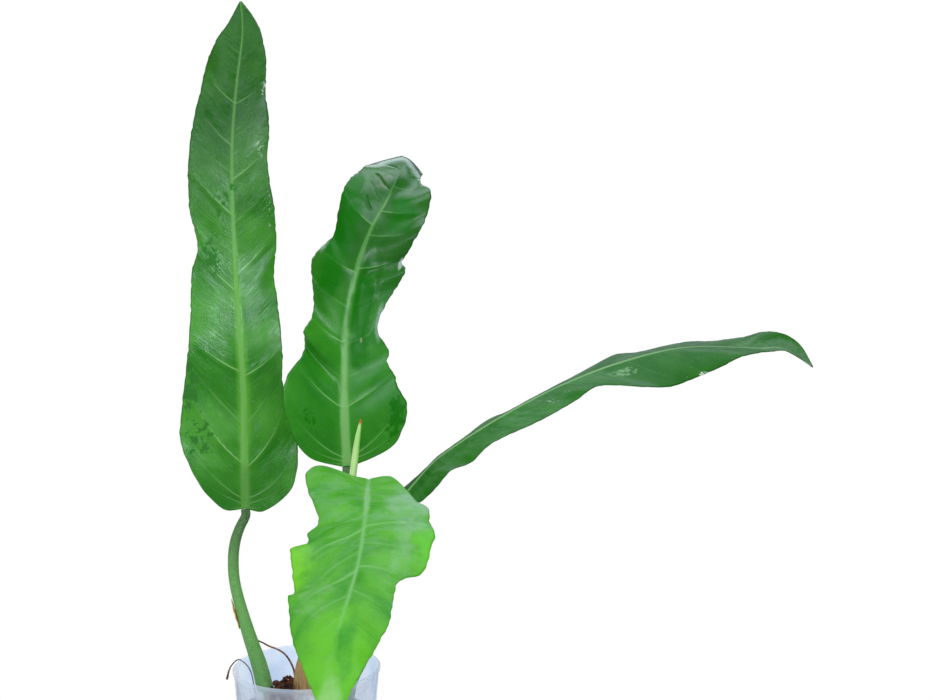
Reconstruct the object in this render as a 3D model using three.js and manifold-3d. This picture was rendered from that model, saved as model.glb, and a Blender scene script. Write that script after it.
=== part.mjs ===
// Potted philodendron longilaminatum: four long strap leaves on one short creeping stem,
// in a thin frosted nursery pot of bark mix. Millimetres, +Z up, the origin at the middle of
// the pot's underside. The picture's viewer stands on the -Y side, so +X is the picture's right.

import * as THREE from 'three';
import { mergeVertices } from 'three/addons/utils/BufferGeometryUtils.js';
import Module from 'manifold-3d';

// Driving dimensions of the pot
const POT_HEIGHT = 97;
const RIM_RADIUS = 50;
const WALL_TOP_RADIUS = 49;
const WALL_FOOT_RADIUS = 41;
const WALL_THICKNESS = 1;
const LIP_HEIGHT = 2.4;
const FLOOR_THICKNESS = 1.6;
const FLOOR_CHAMFER = 1;
const POT_SIDES = 48;
const DRAIN_HOLES = 6;
const DRAIN_RADIUS = 3.5;
const DRAIN_CIRCLE = 24;

// Driving dimensions of the bark mix
const SOIL_LEVEL = 63;
const HEAP_HEIGHT = 24;
const HEAP_MIDDLE = [-13, -2];
const HEAP_SPREAD = 12;
const SOIL_ROUGHNESS = 1.8;
const CHUNKS = 36;
const CHUNK_LENGTH = [6, 13];
const CHUNK_WIDTH = [0.45, 0.75];
const CHUNK_HEIGHT = 0.4;
const CHUNK_TILT = 0.65;
const CHUNK_REACH = 37;
const GOLDEN_ANGLE = Math.PI * (3 - Math.sqrt(5));

// Thickness of a leaf blade, and the gap that neighbouring pieces keep
const BLADE_THICKNESS = 0.8;
const GAP = 0.3;

const group = new THREE.Group();
const wasm = await Module();
wasm.setup();

const point = ([x, y, z]) => new THREE.Vector3(x, y, z);
const curveThrough = (points) => new THREE.CatmullRomCurve3(points.map(point), false, 'catmullrom', 0.5);

const finish = (color, roughness) => new THREE.MeshStandardMaterial({ color, roughness, metalness: 0 });

// Repeatable random numbers from 0 to 1
function seededRandom(seed) {
  let state = seed;
  return () => {
    state = (state + 0x6d2b79f5) | 0;
    let mixed = Math.imul(state ^ (state >>> 15), 1 | state);
    mixed = (mixed + Math.imul(mixed ^ (mixed >>> 7), 61 | mixed)) ^ mixed;
    return ((mixed ^ (mixed >>> 14)) >>> 0) / 4294967296;
  };
}

// Keeps only the corner points, shared between faces
function bare(geometry) {
  const copy = geometry.clone();
  copy.deleteAttribute('normal');
  copy.deleteAttribute('uv');
  return mergeVertices(copy, 1e-4);
}

function signedVolume(geometry) {
  const corners = geometry.attributes.position;
  const index = geometry.index.array;
  const [a, b, c] = [new THREE.Vector3(), new THREE.Vector3(), new THREE.Vector3()];
  let volume = 0;
  for (let i = 0; i < index.length; i += 3) {
    a.fromBufferAttribute(corners, index[i]);
    b.fromBufferAttribute(corners, index[i + 1]);
    c.fromBufferAttribute(corners, index[i + 2]);
    volume += a.dot(b.cross(c)) / 6;
  }
  return volume;
}

// Turns the faces outwards where they point in
function facingOut(geometry) {
  if (signedVolume(geometry) < 0) {
    const index = geometry.index.array;
    for (let i = 0; i < index.length; i += 3) {
      [index[i + 1], index[i + 2]] = [index[i + 2], index[i + 1]];
    }
  }
  return geometry;
}

function solid(geometry) {
  const closed = facingOut(bare(geometry));
  return new wasm.Manifold(new wasm.Mesh({
    numProp: 3,
    vertProperties: new Float32Array(closed.attributes.position.array),
    triVerts: new Uint32Array(closed.index.array),
  }));
}

// The largest body of a solid, so that a scrap loosened by a cut is dropped
function geometryOf(manifold) {
  const bodies = manifold.decompose();
  const body = bodies.reduce((best, next) => (next.volume() > best.volume() ? next : best));
  const mesh = body.getMesh();
  const geometry = new THREE.BufferGeometry();
  geometry.setAttribute('position', new THREE.BufferAttribute(mesh.vertProperties, 3));
  geometry.setIndex(new THREE.BufferAttribute(mesh.triVerts, 1));
  return geometry;
}

function addPiece(name, geometry, material) {
  geometry.computeVertexNormals();
  const mesh = new THREE.Mesh(geometry, material);
  mesh.name = name;
  group.add(mesh);
}

// A solid stalk of round section along a path, its radius changing from foot to end. grow
// makes it fatter and longer all round, for the hole that it stands in.
function stalk({ path, radii, sides = 8, steps = 20, grow = 0 }) {
  const curve = curveThrough(path);
  const thickness = curveThrough(radii.map((radius) => [radius, 0, 0]));
  const frames = curve.computeFrenetFrames(steps);
  const corners = [];
  const index = [];
  for (let step = 0; step <= steps; step += 1) {
    const end = Number(step === steps) - Number(step === 0);
    const centre = curve.getPointAt(step / steps).addScaledVector(frames.tangents[step], end * grow);
    const radius = thickness.getPoint(step / steps).x + grow;
    for (let side = 0; side < sides; side += 1) {
      const turn = (2 * Math.PI * side) / sides;
      const corner = centre.clone()
        .addScaledVector(frames.normals[step], radius * Math.cos(turn))
        .addScaledVector(frames.binormals[step], radius * Math.sin(turn));
      corners.push(corner.x, corner.y, corner.z);
    }
  }
  for (let step = 0; step < steps; step += 1) {
    for (let side = 0; side < sides; side += 1) {
      const next = (side + 1) % sides;
      const [a, b] = [step * sides + side, step * sides + next];
      index.push(a, b, b + sides, a, b + sides, a + sides);
    }
  }
  const last = steps * sides;
  for (let side = 1; side < sides - 1; side += 1) {
    index.push(0, side + 1, side, last, last + side, last + side + 1);
  }
  const geometry = new THREE.BufferGeometry();
  geometry.setAttribute('position', new THREE.Float32BufferAttribute(corners, 3));
  geometry.setIndex(index);
  return facingOut(geometry);
}

// A closed sheet round a grid of middle points, with both faces cut into triangles alike.
// Each grid point is { at, up, down }: its place, and how far each face lies from it.
function sheet(grid) {
  const rows = grid.length;
  const columns = grid[0].length;
  const corners = [];
  const index = [];
  const along = new THREE.Vector3();
  const across = new THREE.Vector3();
  for (const side of ['up', 'down']) {
    for (let row = 0; row < rows; row += 1) {
      for (let column = 0; column < columns; column += 1) {
        const spot = grid[row][column];
        const ahead = grid[Math.min(row + 1, rows - 1)][column];
        const behind = grid[Math.max(row - 1, 0)][column];
        const right = grid[row][Math.min(column + 1, columns - 1)];
        const left = grid[row][Math.max(column - 1, 0)];
        along.subVectors(ahead.at, behind.at);
        across.subVectors(right.at, left.at);
        const normal = across.clone().cross(along).normalize();
        const offset = side === 'up' ? spot.up : -spot.down;
        const corner = spot.at.clone().addScaledVector(normal, offset);
        corners.push(corner.x, corner.y, corner.z);
      }
    }
  }
  const id = (side, row, column) => side * rows * columns + row * columns + column;
  for (let row = 0; row < rows - 1; row += 1) {
    for (let column = 0; column < columns - 1; column += 1) {
      const [a, b] = [id(0, row, column), id(0, row, column + 1)];
      const [c, d] = [id(0, row + 1, column + 1), id(0, row + 1, column)];
      const turned = column >= (columns - 1) / 2;
      const faces = turned ? [a, b, c, a, c, d] : [b, c, d, b, d, a];
      const under = rows * columns;
      for (let k = 0; k < 6; k += 3) {
        index.push(faces[k], faces[k + 1], faces[k + 2]);
        index.push(faces[k] + under, faces[k + 2] + under, faces[k + 1] + under);
      }
    }
  }
  const border = [];
  for (let column = 0; column < columns - 1; column += 1) border.push([0, column]);
  for (let row = 0; row < rows - 1; row += 1) border.push([row, columns - 1]);
  for (let column = columns - 1; column > 0; column -= 1) border.push([rows - 1, column]);
  for (let row = rows - 1; row > 0; row -= 1) border.push([row, 0]);
  border.forEach(([row, column], place) => {
    const [nextRow, nextColumn] = border[(place + 1) % border.length];
    const [a, b] = [id(0, row, column), id(0, nextRow, nextColumn)];
    const [c, d] = [id(1, nextRow, nextColumn), id(1, row, column)];
    index.push(a, d, c, a, c, b);
  });
  const geometry = new THREE.BufferGeometry();
  geometry.setAttribute('position', new THREE.Float32BufferAttribute(corners, 3));
  geometry.setIndex(index);
  return facingOut(geometry);
}

// Frosted nursery pot: a thin tapered wall with a narrow lip and a ring of drainage holes
function pot() {
  const lipFoot = POT_HEIGHT - LIP_HEIGHT;
  const outline = [
    [0, 0],
    [WALL_FOOT_RADIUS - FLOOR_CHAMFER, 0],
    [WALL_FOOT_RADIUS, FLOOR_CHAMFER],
    [WALL_TOP_RADIUS, lipFoot - 0.6],
    [RIM_RADIUS, lipFoot],
    [RIM_RADIUS, POT_HEIGHT],
    [WALL_TOP_RADIUS - WALL_THICKNESS, POT_HEIGHT],
    [WALL_TOP_RADIUS - WALL_THICKNESS, lipFoot],
    [WALL_FOOT_RADIUS - WALL_THICKNESS, FLOOR_THICKNESS],
    [0, FLOOR_THICKNESS],
  ].map(([radius, height]) => new THREE.Vector2(radius, height));
  const shell = new THREE.LatheGeometry(outline, POT_SIDES).rotateX(Math.PI / 2);
  let body = solid(shell);
  for (let hole = 0; hole < DRAIN_HOLES; hole += 1) {
    const turn = (2 * Math.PI * hole) / DRAIN_HOLES;
    const drill = new THREE.CylinderGeometry(DRAIN_RADIUS, DRAIN_RADIUS, 3 * FLOOR_THICKNESS, 12);
    drill.rotateX(Math.PI / 2);
    drill.translate(DRAIN_CIRCLE * Math.cos(turn), DRAIN_CIRCLE * Math.sin(turn), FLOOR_THICKNESS / 2);
    body = body.subtract(solid(drill));
  }
  return geometryOf(body);
}

// Short creeping stem with a crown that the young stalks stand on
const CROWN_TOP = 84;
const SOCKET = 2;
const RHIZOME = {
  path: [[-27, 3, 50], [-10, 2, 51], [11, 1, 50], [28, 4, 50], [37, 5, 51]],
  radii: [5, 7, 8.5, 7, 4.5],
  steps: 8,
};
const CROWN = {
  path: [[8, 0, 49], [10, 1, 66], [11, 1, CROWN_TOP]],
  radii: [7, 11, 12],
  sides: 12,
  steps: 4,
};

// Roots that hold the plant in the mix, each from the stem down towards the pot's floor
const ROOTS = [
  [[-20, 2, 50], [-28, -8, 40], [-31, -12, 24], [-26, -16, 10]],
  [[-12, 2, 50], [-14, 14, 38], [-22, 24, 24], [-18, 29, 12]],
  [[2, 0, 48], [0, -16, 36], [6, -28, 22], [2, -33, 10]],
  [[10, 2, 47], [14, 14, 34], [10, 28, 20], [16, 31, 8]],
  [[20, 3, 48], [28, -10, 36], [30, -20, 22], [24, -27, 10]],
  [[29, 4, 48], [36, 10, 38], [34, 18, 22], [30, 22, 9]],
].map((path) => ({ path, radii: [2.2, 1.8, 1.5, 1], sides: 6, steps: 7 }));

// Leaf stalks from the crown, or from the stem below the mix, up to each blade
const PETIOLES = {
  petiole_tall: {
    path: [[-22, 3, 57.5], [-25.5, 3, 70], [-29.5, 4, 81], [-33.4, 6, 95], [-40.8, 9, 116],
      [-46.9, 12, 135], [-51.3, 15, 152], [-52.3, 17, 167], [-51.2, 18.6, 178], [-48.3, 20.2, 187.5]],
    radii: [5.6, 5.8, 5.7, 5.3, 4.8, 4.4, 4, 3.8, 3.75, 3.7, 3.4, 3.1],
    steps: 26,
    blade: 'blade_tall',
  },
  petiole_ruffled: {
    path: [[15, 8, CROWN_TOP - SOCKET], [19, 9, 110], [23, 8, 150], [26.5, 6, 190], [28, 3, 215]],
    radii: [4.3, 4, 3.6, 3.4, 3.2, 3.2, 3.2],
    steps: 18,
    blade: 'blade_ruffled',
  },
  petiole_arching: {
    path: [[28, 4, 57.5], [27, 4, 70], [29.5, 5, 85], [38, 6, 103], [47, 8, 135], [53, 10, 165],
      [58.5, 11.5, 193]],
    radii: [4.8, 4.8, 4.6, 4.2, 3.7, 3.3, 3, 2.9, 2.8],
    steps: 22,
    blade: 'blade_arching',
  },
  petiole_front: {
    path: [[18, -5, CROWN_TOP - SOCKET], [25, -9, 115], [32, -14, 150], [39, -20, 187], [43.5, -25, 208]],
    radii: [4.3, 4, 3.6, 3.2, 2.9, 2.6, 2.4],
    steps: 20,
    blade: 'blade_front',
    under: 2.5,
  },
};

// Runs a leaf stalk on up to its blade, in line with the midrib, or where the blade hangs from
// its stalk, to the midrib's underside at the distance that under gives
function leafStalk({ path, blade: name, under = 0, ...rest }) {
  const leaf = BLADES[name];
  const bend = bender(leaf);
  const end = under > 0
    ? (distance) => bend(under, 0, -BLADE_THICKNESS / 2 - leaf.rib[1] - distance)
    : (distance) => bend(-GAP - distance, 0, 0);
  return { ...rest, path: [...path, end(5).toArray(), end(GAP).toArray()] };
}

// Pale pointed sheath of the next leaf
const NEW_SHEATH = {
  path: [[5, 1, CROWN_TOP - SOCKET], [11, -2, 115], [19, -5, 152], [27, -8, 195], [33, -10, 230],
    [36, -11, 252], [38.8, -12, 267.5]],
  radii: [3.2, 3.2, 3.2, 3.2, 3.1, 3, 2.9, 2.8, 2.6, 2.35, 2, 0.8],
  steps: 20,
};

// Thin roots in the open: one strung from the tall leaf's stalk, one over the rim
const INNER_ROOT = {
  path: [[-35.8, 13.8, 110.5], [-31, 9, 110], [-26, 4, 109.2], [-20, 1, 108], [-14.5, 2, 103.5],
    [-10, 3.5, 94.5], [-8.5, 4, 84], [-8.5, 4, 66]],
  radii: [0.5, 0.6, 0.6, 0.65, 0.7, 0.75, 0.8, 0.8],
  sides: 6,
  steps: 16,
};
const RIM_ROOT = {
  path: [[-28, -30, 58], [-29.5, -30, 78], [-32, -29.5, 97], [-35, -27.5, 104.5], [-40.3, -24, 108.2],
    [-43.8, -19.5, 107.2], [-47.3, -15.5, 103.7], [-50.6, -12, 98.5], [-52.8, -10, 91]],
  radii: [0.6, 0.5, 0.4, 0.4, 0.4, 0.4, 0.4, 0.5, 0.8],
  sides: 6,
  steps: 22,
};

// Adds bark chunks to a soil body, half sunk and turned at random
function addChunks(body) {
  const random = seededRandom(41);
  let heap = body;
  for (let chunk = 0; chunk < CHUNKS; chunk += 1) {
    const length = THREE.MathUtils.lerp(...CHUNK_LENGTH, random());
    const radius = CHUNK_REACH * Math.sqrt((chunk + 0.5) / CHUNKS);
    const turn = chunk * GOLDEN_ANGLE + random() * 0.5;
    const [x, y] = [radius * Math.cos(turn), radius * Math.sin(turn)];
    const width = length * THREE.MathUtils.lerp(...CHUNK_WIDTH, random());
    const block = new THREE.BoxGeometry(length, width, length * CHUNK_HEIGHT);
    block.rotateX((2 * random() - 1) * CHUNK_TILT);
    block.rotateY((2 * random() - 1) * CHUNK_TILT);
    block.rotateZ(random() * Math.PI);
    block.translate(x, y, soilHeight(x, y) + 0.6);
    heap = heap.add(solid(block));
  }
  return heap;
}

// Height of the bark mix, heaped round the stem
function soilHeight(x, y) {
  const away = ((x - HEAP_MIDDLE[0]) ** 2 + (y - HEAP_MIDDLE[1]) ** 2) / (2 * HEAP_SPREAD ** 2);
  const ripple = Math.sin(x * 0.61 + 1.3 * Math.sin(y * 0.37)) * Math.cos(y * 0.53 + x * 0.19);
  return SOIL_LEVEL + HEAP_HEIGHT * Math.exp(-away) + SOIL_ROUGHNESS * ripple;
}

// Bark mix that fills the pot, with holes for what stands in it
function soil() {
  const wallAt = (height) => {
    const share = (height - FLOOR_THICKNESS) / (POT_HEIGHT - LIP_HEIGHT - FLOOR_THICKNESS);
    return WALL_FOOT_RADIUS + share * (WALL_TOP_RADIUS - WALL_FOOT_RADIUS) - WALL_THICKNESS - GAP;
  };
  const foot = FLOOR_THICKNESS + GAP;
  const topRadius = wallAt(SOIL_LEVEL);
  const outline = [[0, foot], [wallAt(foot), foot], [topRadius, SOIL_LEVEL]];
  for (const share of [0.82, 0.62, 0.44, 0.28, 0.13, 0]) {
    outline.push([topRadius * share, SOIL_LEVEL + 1]);
  }
  const profile = outline.map(([radius, height]) => new THREE.Vector2(radius, height));
  const body = bare(new THREE.LatheGeometry(profile, POT_SIDES / 2).rotateX(Math.PI / 2));
  const corners = body.attributes.position;
  for (let corner = 0; corner < corners.count; corner += 1) {
    if (corners.getZ(corner) > SOIL_LEVEL + 0.5) {
      corners.setZ(corner, soilHeight(corners.getX(corner), corners.getY(corner)));
    }
  }
  const leafStalks = Object.values(PETIOLES).map(leafStalk);
  const standing = [RHIZOME, CROWN, ...ROOTS, ...leafStalks, NEW_SHEATH, INNER_ROOT, RIM_ROOT];
  let mix = addChunks(solid(body));
  for (const piece of standing) {
    mix = mix.subtract(solid(stalk({ ...piece, grow: GAP })));
  }
  return geometryOf(mix.subtract(solid(driedSheath(GAP))));
}

function stem() {
  let body = solid(stalk(RHIZOME)).add(solid(stalk(CROWN)));
  for (const root of ROOTS) {
    body = body.add(solid(stalk(root)));
  }
  for (const stalkOnStem of [...Object.values(PETIOLES).map(leafStalk), NEW_SHEATH]) {
    body = body.subtract(solid(stalk({ ...stalkOnStem, grow: GAP })));
  }
  return geometryOf(body);
}

// The four blades. midrib: places along the midrib from the stalk to the tip. face: which way
// the upper side looks, at even steps along the blade. Each row is one side vein on each half:
// where it leaves the midrib, then the left and the right margin point it runs to, as distance
// along, distance across and height above the flat blade. Left and right are as seen on the
// upper side with the tip up. crease is how much of the height is a straight fold.
const BLADES = {
  blade_tall: {
    midrib: [[-44.4, 22, 201], [-45, 24.2, 236], [-45.3, 26.8, 272], [-47, 29, 308], [-50, 33.8, 345],
      [-52.6, 38.6, 382], [-53.8, 40.2, 420], [-53.5, 41.9, 457], [-50.8, 47, 495], [-47.6, 54, 530],
      [-49.2, 58, 552.5]],
    face: [[0.15, -1, 0.1], [0.1, -1, 0.1], [0.05, -1, 0.12], [0, -1, 0.15], [-0.1, -1, 0.15],
      [-0.2, -1, 0.2]],
    crease: 0.35,
    rib: [2.3, 4.2],
    rows: [
      [0, 0, -4, 0, 0, 4, 0],
      [3, 0, -14, 1, -2, 13, 1],
      [8, 11, -26, 2, 8, 28, 2],
      [13, 24, -34, 2, 21, 35.2, 2],
      [20, 39, -41, 0, 37, 36.8, 0],
      [32, 55, -44, -2, 55, 35.3, -2],
      [52, 85, -40.5, -1, 82, 27.6, 1],
      [78, 112, -36, 1.5, 110, 28.4, 2.5],
      [106, 140, -32.5, 0.5, 140, 27.5, 0],
      [132, 165, -30.5, -0.5, 162, 26, -2.5],
      [154, 184, -25, 1.5, 182, 29, -1],
      [178, 208, -30, -1, 208, 29, 1.5],
      [204, 238, -30.5, 0, 239, 25, 1],
      [232, 266, -28, 1.5, 267, 25, -2],
      [258, 290, -25.3, 0, 290, 21.3, 1],
      [282, 310, -24, -2, 312, 19, -1],
      [306, 328, -17.8, 1, 331, 14, 1],
      [330, 343, -9, 0, 346, 6.3, 0],
      [355, 355, -0.8, 0, 355, 0.8, 0],
    ],
  },
  blade_ruffled: {
    midrib: [[28, 2, 234], [27, 1.2, 262], [26.5, 4, 290], [27.5, 8, 318], [30.5, 12, 345],
      [36, 16.5, 372], [44, 22, 394], [55, 33, 416], [62.5, 46, 433], [64, 65, 444.8],
      [59.5, 86, 446.3], [54, 108, 435.5], [51, 125, 414], [48, 135, 390]],
    face: [[0.1, -1, 0.1], [0.1, -1, 0.1], [0.05, -1, 0.2], [-0.1, -1, 0.4], [-0.1, -0.5, 1],
      [-0.1, 0.5, 1], [-0.1, 1, 0.4]],
    crease: 0.5,
    rib: [2.65, 4.6],
    rows: [
      [0, 0, -4, 0, 0, 4, 0],
      [4, 6, -22, 1, 5, 18, 0],
      [9, 15, -31, 2, 13, 32, 2],
      [16, 30, -37.5, 4, 27, 40, 3],
      [26, 46, -40.5, 4, 41, 41.7, 3.5],
      [36, 60, -38.5, 3, 54, 36, 3],
      [46, 74, -28.7, 0, 62, 33.7, 2.5],
      [56, 82, -27.7, -4, 71, 28.5, 2.5],
      [66, 89, -28.5, 6, 80, 29, 2.5],
      [78, 97, -25, 1, 94, 20.5, 3],
      [90, 108, -24.5, 0, 112, 23.2, 3],
      [106, 123, -28.5, 4.5, 128, 29.5, 2.5],
      [120, 134, -30.7, 4, 142, 32.5, 3.5],
      [130, 142, -28, 0, 149, 27.5, -3],
      [141, 152, -24, -5, 159, 30, -1],
      [154, 167, -27, -2, 174, 32.5, 3],
      [168, 184, -31.5, 2, 189, 30.5, -2.5],
      [182, 200, -32, 1, 203, 26.5, -1],
      [196, 214, -31, -1, 210, 16, -5],
      [212, 228, -27.5, -1, 219, 12.5, -8],
      [230, 245, -26, -4, 238, 12, -13],
      [252, 267, -26, -6, 261, 12, -10],
      [276, 291, -21, -4, 287, 13, -5],
      [316, 325, -7, 0, 324, 7.5, 0],
      [338, 338, -0.8, 0, 338, 0.8, 0],
    ],
  },
  blade_arching: {
    midrib: [[66, 12, 212], [85.5, 12, 234.3], [105.5, 14, 249], [136, 18, 267.5], [171, 24, 285],
      [208, 30, 299.5], [246, 36, 309.5], [272, 40, 312], [293, 44, 311.3], [314, 48, 310], [334, 51, 309],
      [362, 56.5, 292.5]],
    face: [[-0.7, -0.45, 0.6], [-0.5, -0.4, 0.8], [-0.4, -0.3, 1], [-0.3, -0.25, 1], [-0.1, -0.25, 1],
      [0, -0.45, 1], [0.3, -0.8, 1]],
    crease: 0.75,
    rib: [2.8, 4],
    rows: [
      [0, 0, -4, 0, 0, 4, 0],
      [3, -3, -13, -3, -3, 13, 1],
      [7, 4, -25, -11.5, 4, 24, 4],
      [13, 15, -34, -19, 13, 32, 5],
      [21, 30, -38, -24, 26, 36, 6.5],
      [31, 46, -39, -24.3, 38, 37.5, 9],
      [42, 60, -39, -24, 51, 38, 5],
      [54, 74, -38.5, -21, 66, 37.5, 7],
      [68, 88, -37.5, -16, 82, 36, 4],
      [82, 102, -36, -17, 98, 34.5, 0],
      [98, 118, -35, -16, 116, 34.5, -1],
      [114, 135, -35, -14, 133, 34.5, 0],
      [130, 152, -35, -12, 149, 35, 3],
      [146, 169, -35, -9, 164, 35, -2],
      [162, 185, -35, -6, 182, 35, -9],
      [178, 201, -35, -9, 201, 34, -14],
      [196, 218, -34, -9, 220, 32, -12],
      [216, 238, -33, -8, 240, 29.5, -5],
      [236, 260, -30, -8, 258, 25, 4],
      [256, 278, -25, -4, 277, 18, 7],
      [276, 293, -18, 2.5, 293, 11, 5],
      [298, 309, -10, 4.5, 309, 5, 3],
      [325, 325, -0.8, 0, 325, 0.8, 0],
    ],
  },
  blade_front: {
    midrib: [[45, -28, 230], [45.5, -55, 219], [45.5, -80, 207], [44, -107, 192], [40.5, -130, 179],
      [37, -152, 167], [36, -176, 150], [37.5, -196, 134], [38, -206, 124]],
    face: [[0, -0.4, 1], [0, -0.4, 1], [0, -0.5, 1], [0, -0.6, 1], [0, -0.8, 1]],
    crease: 0.3,
    rib: [2.3, 3.6],
    rows: [
      [0, 0, -4, 0, 0, 4, 0],
      [3, -4, -10, 0, -5, 14, 1],
      [6, -2, -16, 0, -11, 26, 3],
      [10, 8, -23, -1, -11, 35, 4],
      [16, 21, -31, -3, -2, 41, 4],
      [24, 30, -39, -3, 11, 39, 1],
      [34, 41, -40, -5, 27, 33.5, -2],
      [45, 54, -43.7, -4, 45, 29, -3],
      [54, 69, -42, -2, 56, 34.5, -3],
      [62, 80, -41, -3, 67, 33.5, -2],
      [70, 89, -37.3, -3, 76, 41.2, 1.8],
      [78, 93.5, -30.5, -1, 86, 40.5, 2],
      [88, 99, -25.3, -1, 100, 36.8, -1],
      [98, 113, -26.3, 1, 113, 32.5, -2],
      [107, 125, -27.5, 2, 121, 34, 2],
      [116, 136, -27.2, 1, 131, 30.3, 1],
      [126, 147, -24, 0, 144, 26.4, 1],
      [140, 158, -19, -3, 158, 20.5, 0],
      [156, 172, -14.5, 0, 172, 14, 0],
      [174, 186, -8.5, 0, 186, 8.5, 0],
      [190, 198, -4, 0, 198, 4, 0],
      [209, 209, -0.8, 0, 209, 0.8, 0],
    ],
  },
};
const STEPS_PER_ROW = 2;
const COLUMN_SHARES = [0.3, 0.64, 1];
const VEIN_ARCH = 0.25;

// Puts a point of the flat blade on the bent one
function bender({ midrib, face }) {
  const curve = curveThrough(midrib);
  const facing = curveThrough(face);
  const length = curve.getLength();
  return (along, across, height) => {
    const share = THREE.MathUtils.clamp(along / length, 0, 1);
    const ahead = curve.getTangentAt(share);
    const up = facing.getPoint(share);
    up.addScaledVector(ahead, -up.dot(ahead)).normalize();
    const right = ahead.clone().cross(up);
    return curve.getPointAt(share)
      .addScaledVector(ahead, along - share * length)
      .addScaledVector(right, across)
      .addScaledVector(up, height);
  };
}

// A blade with its midrib raised underneath, from the stalk's end to the tip
function blade(leaf) {
  const bend = bender(leaf);
  const stations = curveThrough(leaf.rows.map((row) => [row[0], 0, 0]));
  const margins = [1, 4].map((first) => curveThrough(leaf.rows.map((row) => row.slice(first, first + 3))));
  const lastStation = leaf.rows.at(-1)[0];
  const steps = STEPS_PER_ROW * (leaf.rows.length - 1);
  const half = BLADE_THICKNESS / 2;
  const grid = [];
  for (let step = 0; step <= steps; step += 1) {
    const station = stations.getPoint(step / steps).x;
    const slimming = 1 - station / lastStation;
    const ribHalf = 0.3 + leaf.rib[0] * slimming;
    const ribDepth = half + leaf.rib[1] * slimming;
    const spot = (margin, share) => {
      const arch = VEIN_ARCH * share * (1 - share) * Math.abs(margin.y);
      const along = station + (margin.x - station) * share - arch;
      const height = margin.z * (leaf.crease * share + (1 - leaf.crease) * share ** 2);
      return { at: bend(along, margin.y * share, height), up: half, down: half };
    };
    const sides = margins.map((curve) => {
      const margin = curve.getPoint(step / steps);
      const ribShare = Math.min(0.8, ribHalf / Math.abs(margin.y));
      return [ribShare, ...COLUMN_SHARES.map((share) => ribShare + (1 - ribShare) * share)]
        .map((share) => spot(margin, share));
    });
    const middle = { at: bend(station, 0, 0), up: half, down: ribDepth };
    grid.push([...sides[0].reverse(), middle, ...sides[1]]);
  }
  return sheet(grid);
}

// Dried sheath that still stands round the front of the crown, narrowing and leaning in to its
// top. Its sides are the directions from and to, in degrees round its middle.
const DRIED_SHEATH = {
  foot: 66,
  top: 114,
  middle: [6, -1],
  from: -168,
  to: -62,
  radius: 15.3,
  lean: 3,
  narrowing: 0.86,
  wave: 0.7,
  thickness: 0.9,
};

function driedSheath(grow = 0) {
  const { foot, top, middle, from, to, thickness } = DRIED_SHEATH;
  const half = thickness / 2 + grow;
  const [rows, columns] = [7, 6];
  const grid = [];
  for (let row = 0; row <= rows; row += 1) {
    const rise = row / rows;
    const line = [];
    for (let column = 0; column <= columns; column += 1) {
      const share = column / columns;
      const width = 1 - DRIED_SHEATH.narrowing * rise ** 3;
      const radius = DRIED_SHEATH.radius - DRIED_SHEATH.lean * rise ** 2
        + DRIED_SHEATH.wave * Math.sin(9 * share) * rise;
      const halfTurn = THREE.MathUtils.degToRad((to - from) / 2) * width + grow / radius;
      const turn = THREE.MathUtils.degToRad((from + to) / 2) + (2 * share - 1) * halfTurn;
      const height = foot + (top - foot) * rise + (2 * rise - 1) * grow;
      const [x, y] = [middle[0] + radius * Math.cos(turn), middle[1] + radius * Math.sin(turn)];
      line.push({ at: new THREE.Vector3(x, y, height), up: half, down: half });
    }
    grid.push(line);
  }
  return sheet(grid);
}

// Dried strip that hangs on the left of the tall leaf's stalk
const SCRAP = { from: 0.44, to: 0.58, width: 1.1, thickness: 0.7, lift: 1.3 };

function sheathScrap() {
  const { path, radii } = leafStalk(PETIOLES.petiole_tall);
  const curve = curveThrough(path);
  const thickness = curveThrough(radii.map((radius) => [radius, 0, 0]));
  const [rows, columns] = [8, 3];
  const grid = [];
  for (let row = 0; row <= rows; row += 1) {
    const rise = row / rows;
    const share = SCRAP.from + (SCRAP.to - SCRAP.from) * rise;
    const centre = curve.getPointAt(share);
    const bow = Math.sin(Math.PI * Math.min(1, 0.1 + 0.9 * rise));
    const reach = thickness.getPoint(share).x + GAP + SCRAP.thickness / 2 + SCRAP.lift * bow * rise + 0.1;
    const line = [];
    for (let column = 0; column <= columns; column += 1) {
      const turn = Math.PI * 1.02 + (column / columns - 0.5) * SCRAP.width * (0.25 + 0.75 * bow);
      const [x, y] = [centre.x + reach * Math.cos(turn), centre.y + reach * Math.sin(turn)];
      const half = SCRAP.thickness / 2;
      line.push({ at: new THREE.Vector3(x, y, centre.z), up: half, down: half });
    }
    grid.push(line);
  }
  return sheet(grid);
}

addPiece('pot', pot(), finish(0xd2e2f6, 0.45));
addPiece('soil', soil(), finish(0x3a2014, 0.95));
addPiece('stem', stem(), finish(0x7d8a55, 0.7));

const STALK_GREEN = finish(0x4f9248, 0.45);
for (const [name, petiole] of Object.entries(PETIOLES)) {
  addPiece(name, stalk(leafStalk(petiole)), STALK_GREEN);
}

addPiece('blade_tall', blade(BLADES.blade_tall), finish(0x4a9440, 0.4));
addPiece('blade_ruffled', blade(BLADES.blade_ruffled), finish(0x266b25, 0.25));
addPiece('blade_arching', blade(BLADES.blade_arching), finish(0x377a33, 0.28));
addPiece('blade_front', blade(BLADES.blade_front), finish(0x6cbe3e, 0.4));

addPiece('cataphyll_new', stalk(NEW_SHEATH), finish(0xa7dd87, 0.4));
addPiece('cataphyll_dried', driedSheath(), finish(0xb08c5c, 0.8));
addPiece('sheath_scrap', sheathScrap(), finish(0xb3722c, 0.7));
addPiece('aerial_root_inner', stalk(INNER_ROOT), finish(0x6b3d28, 0.7));
addPiece('aerial_root_rim', stalk(RIM_ROOT), finish(0x4a3540, 0.7));

export default group;
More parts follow.
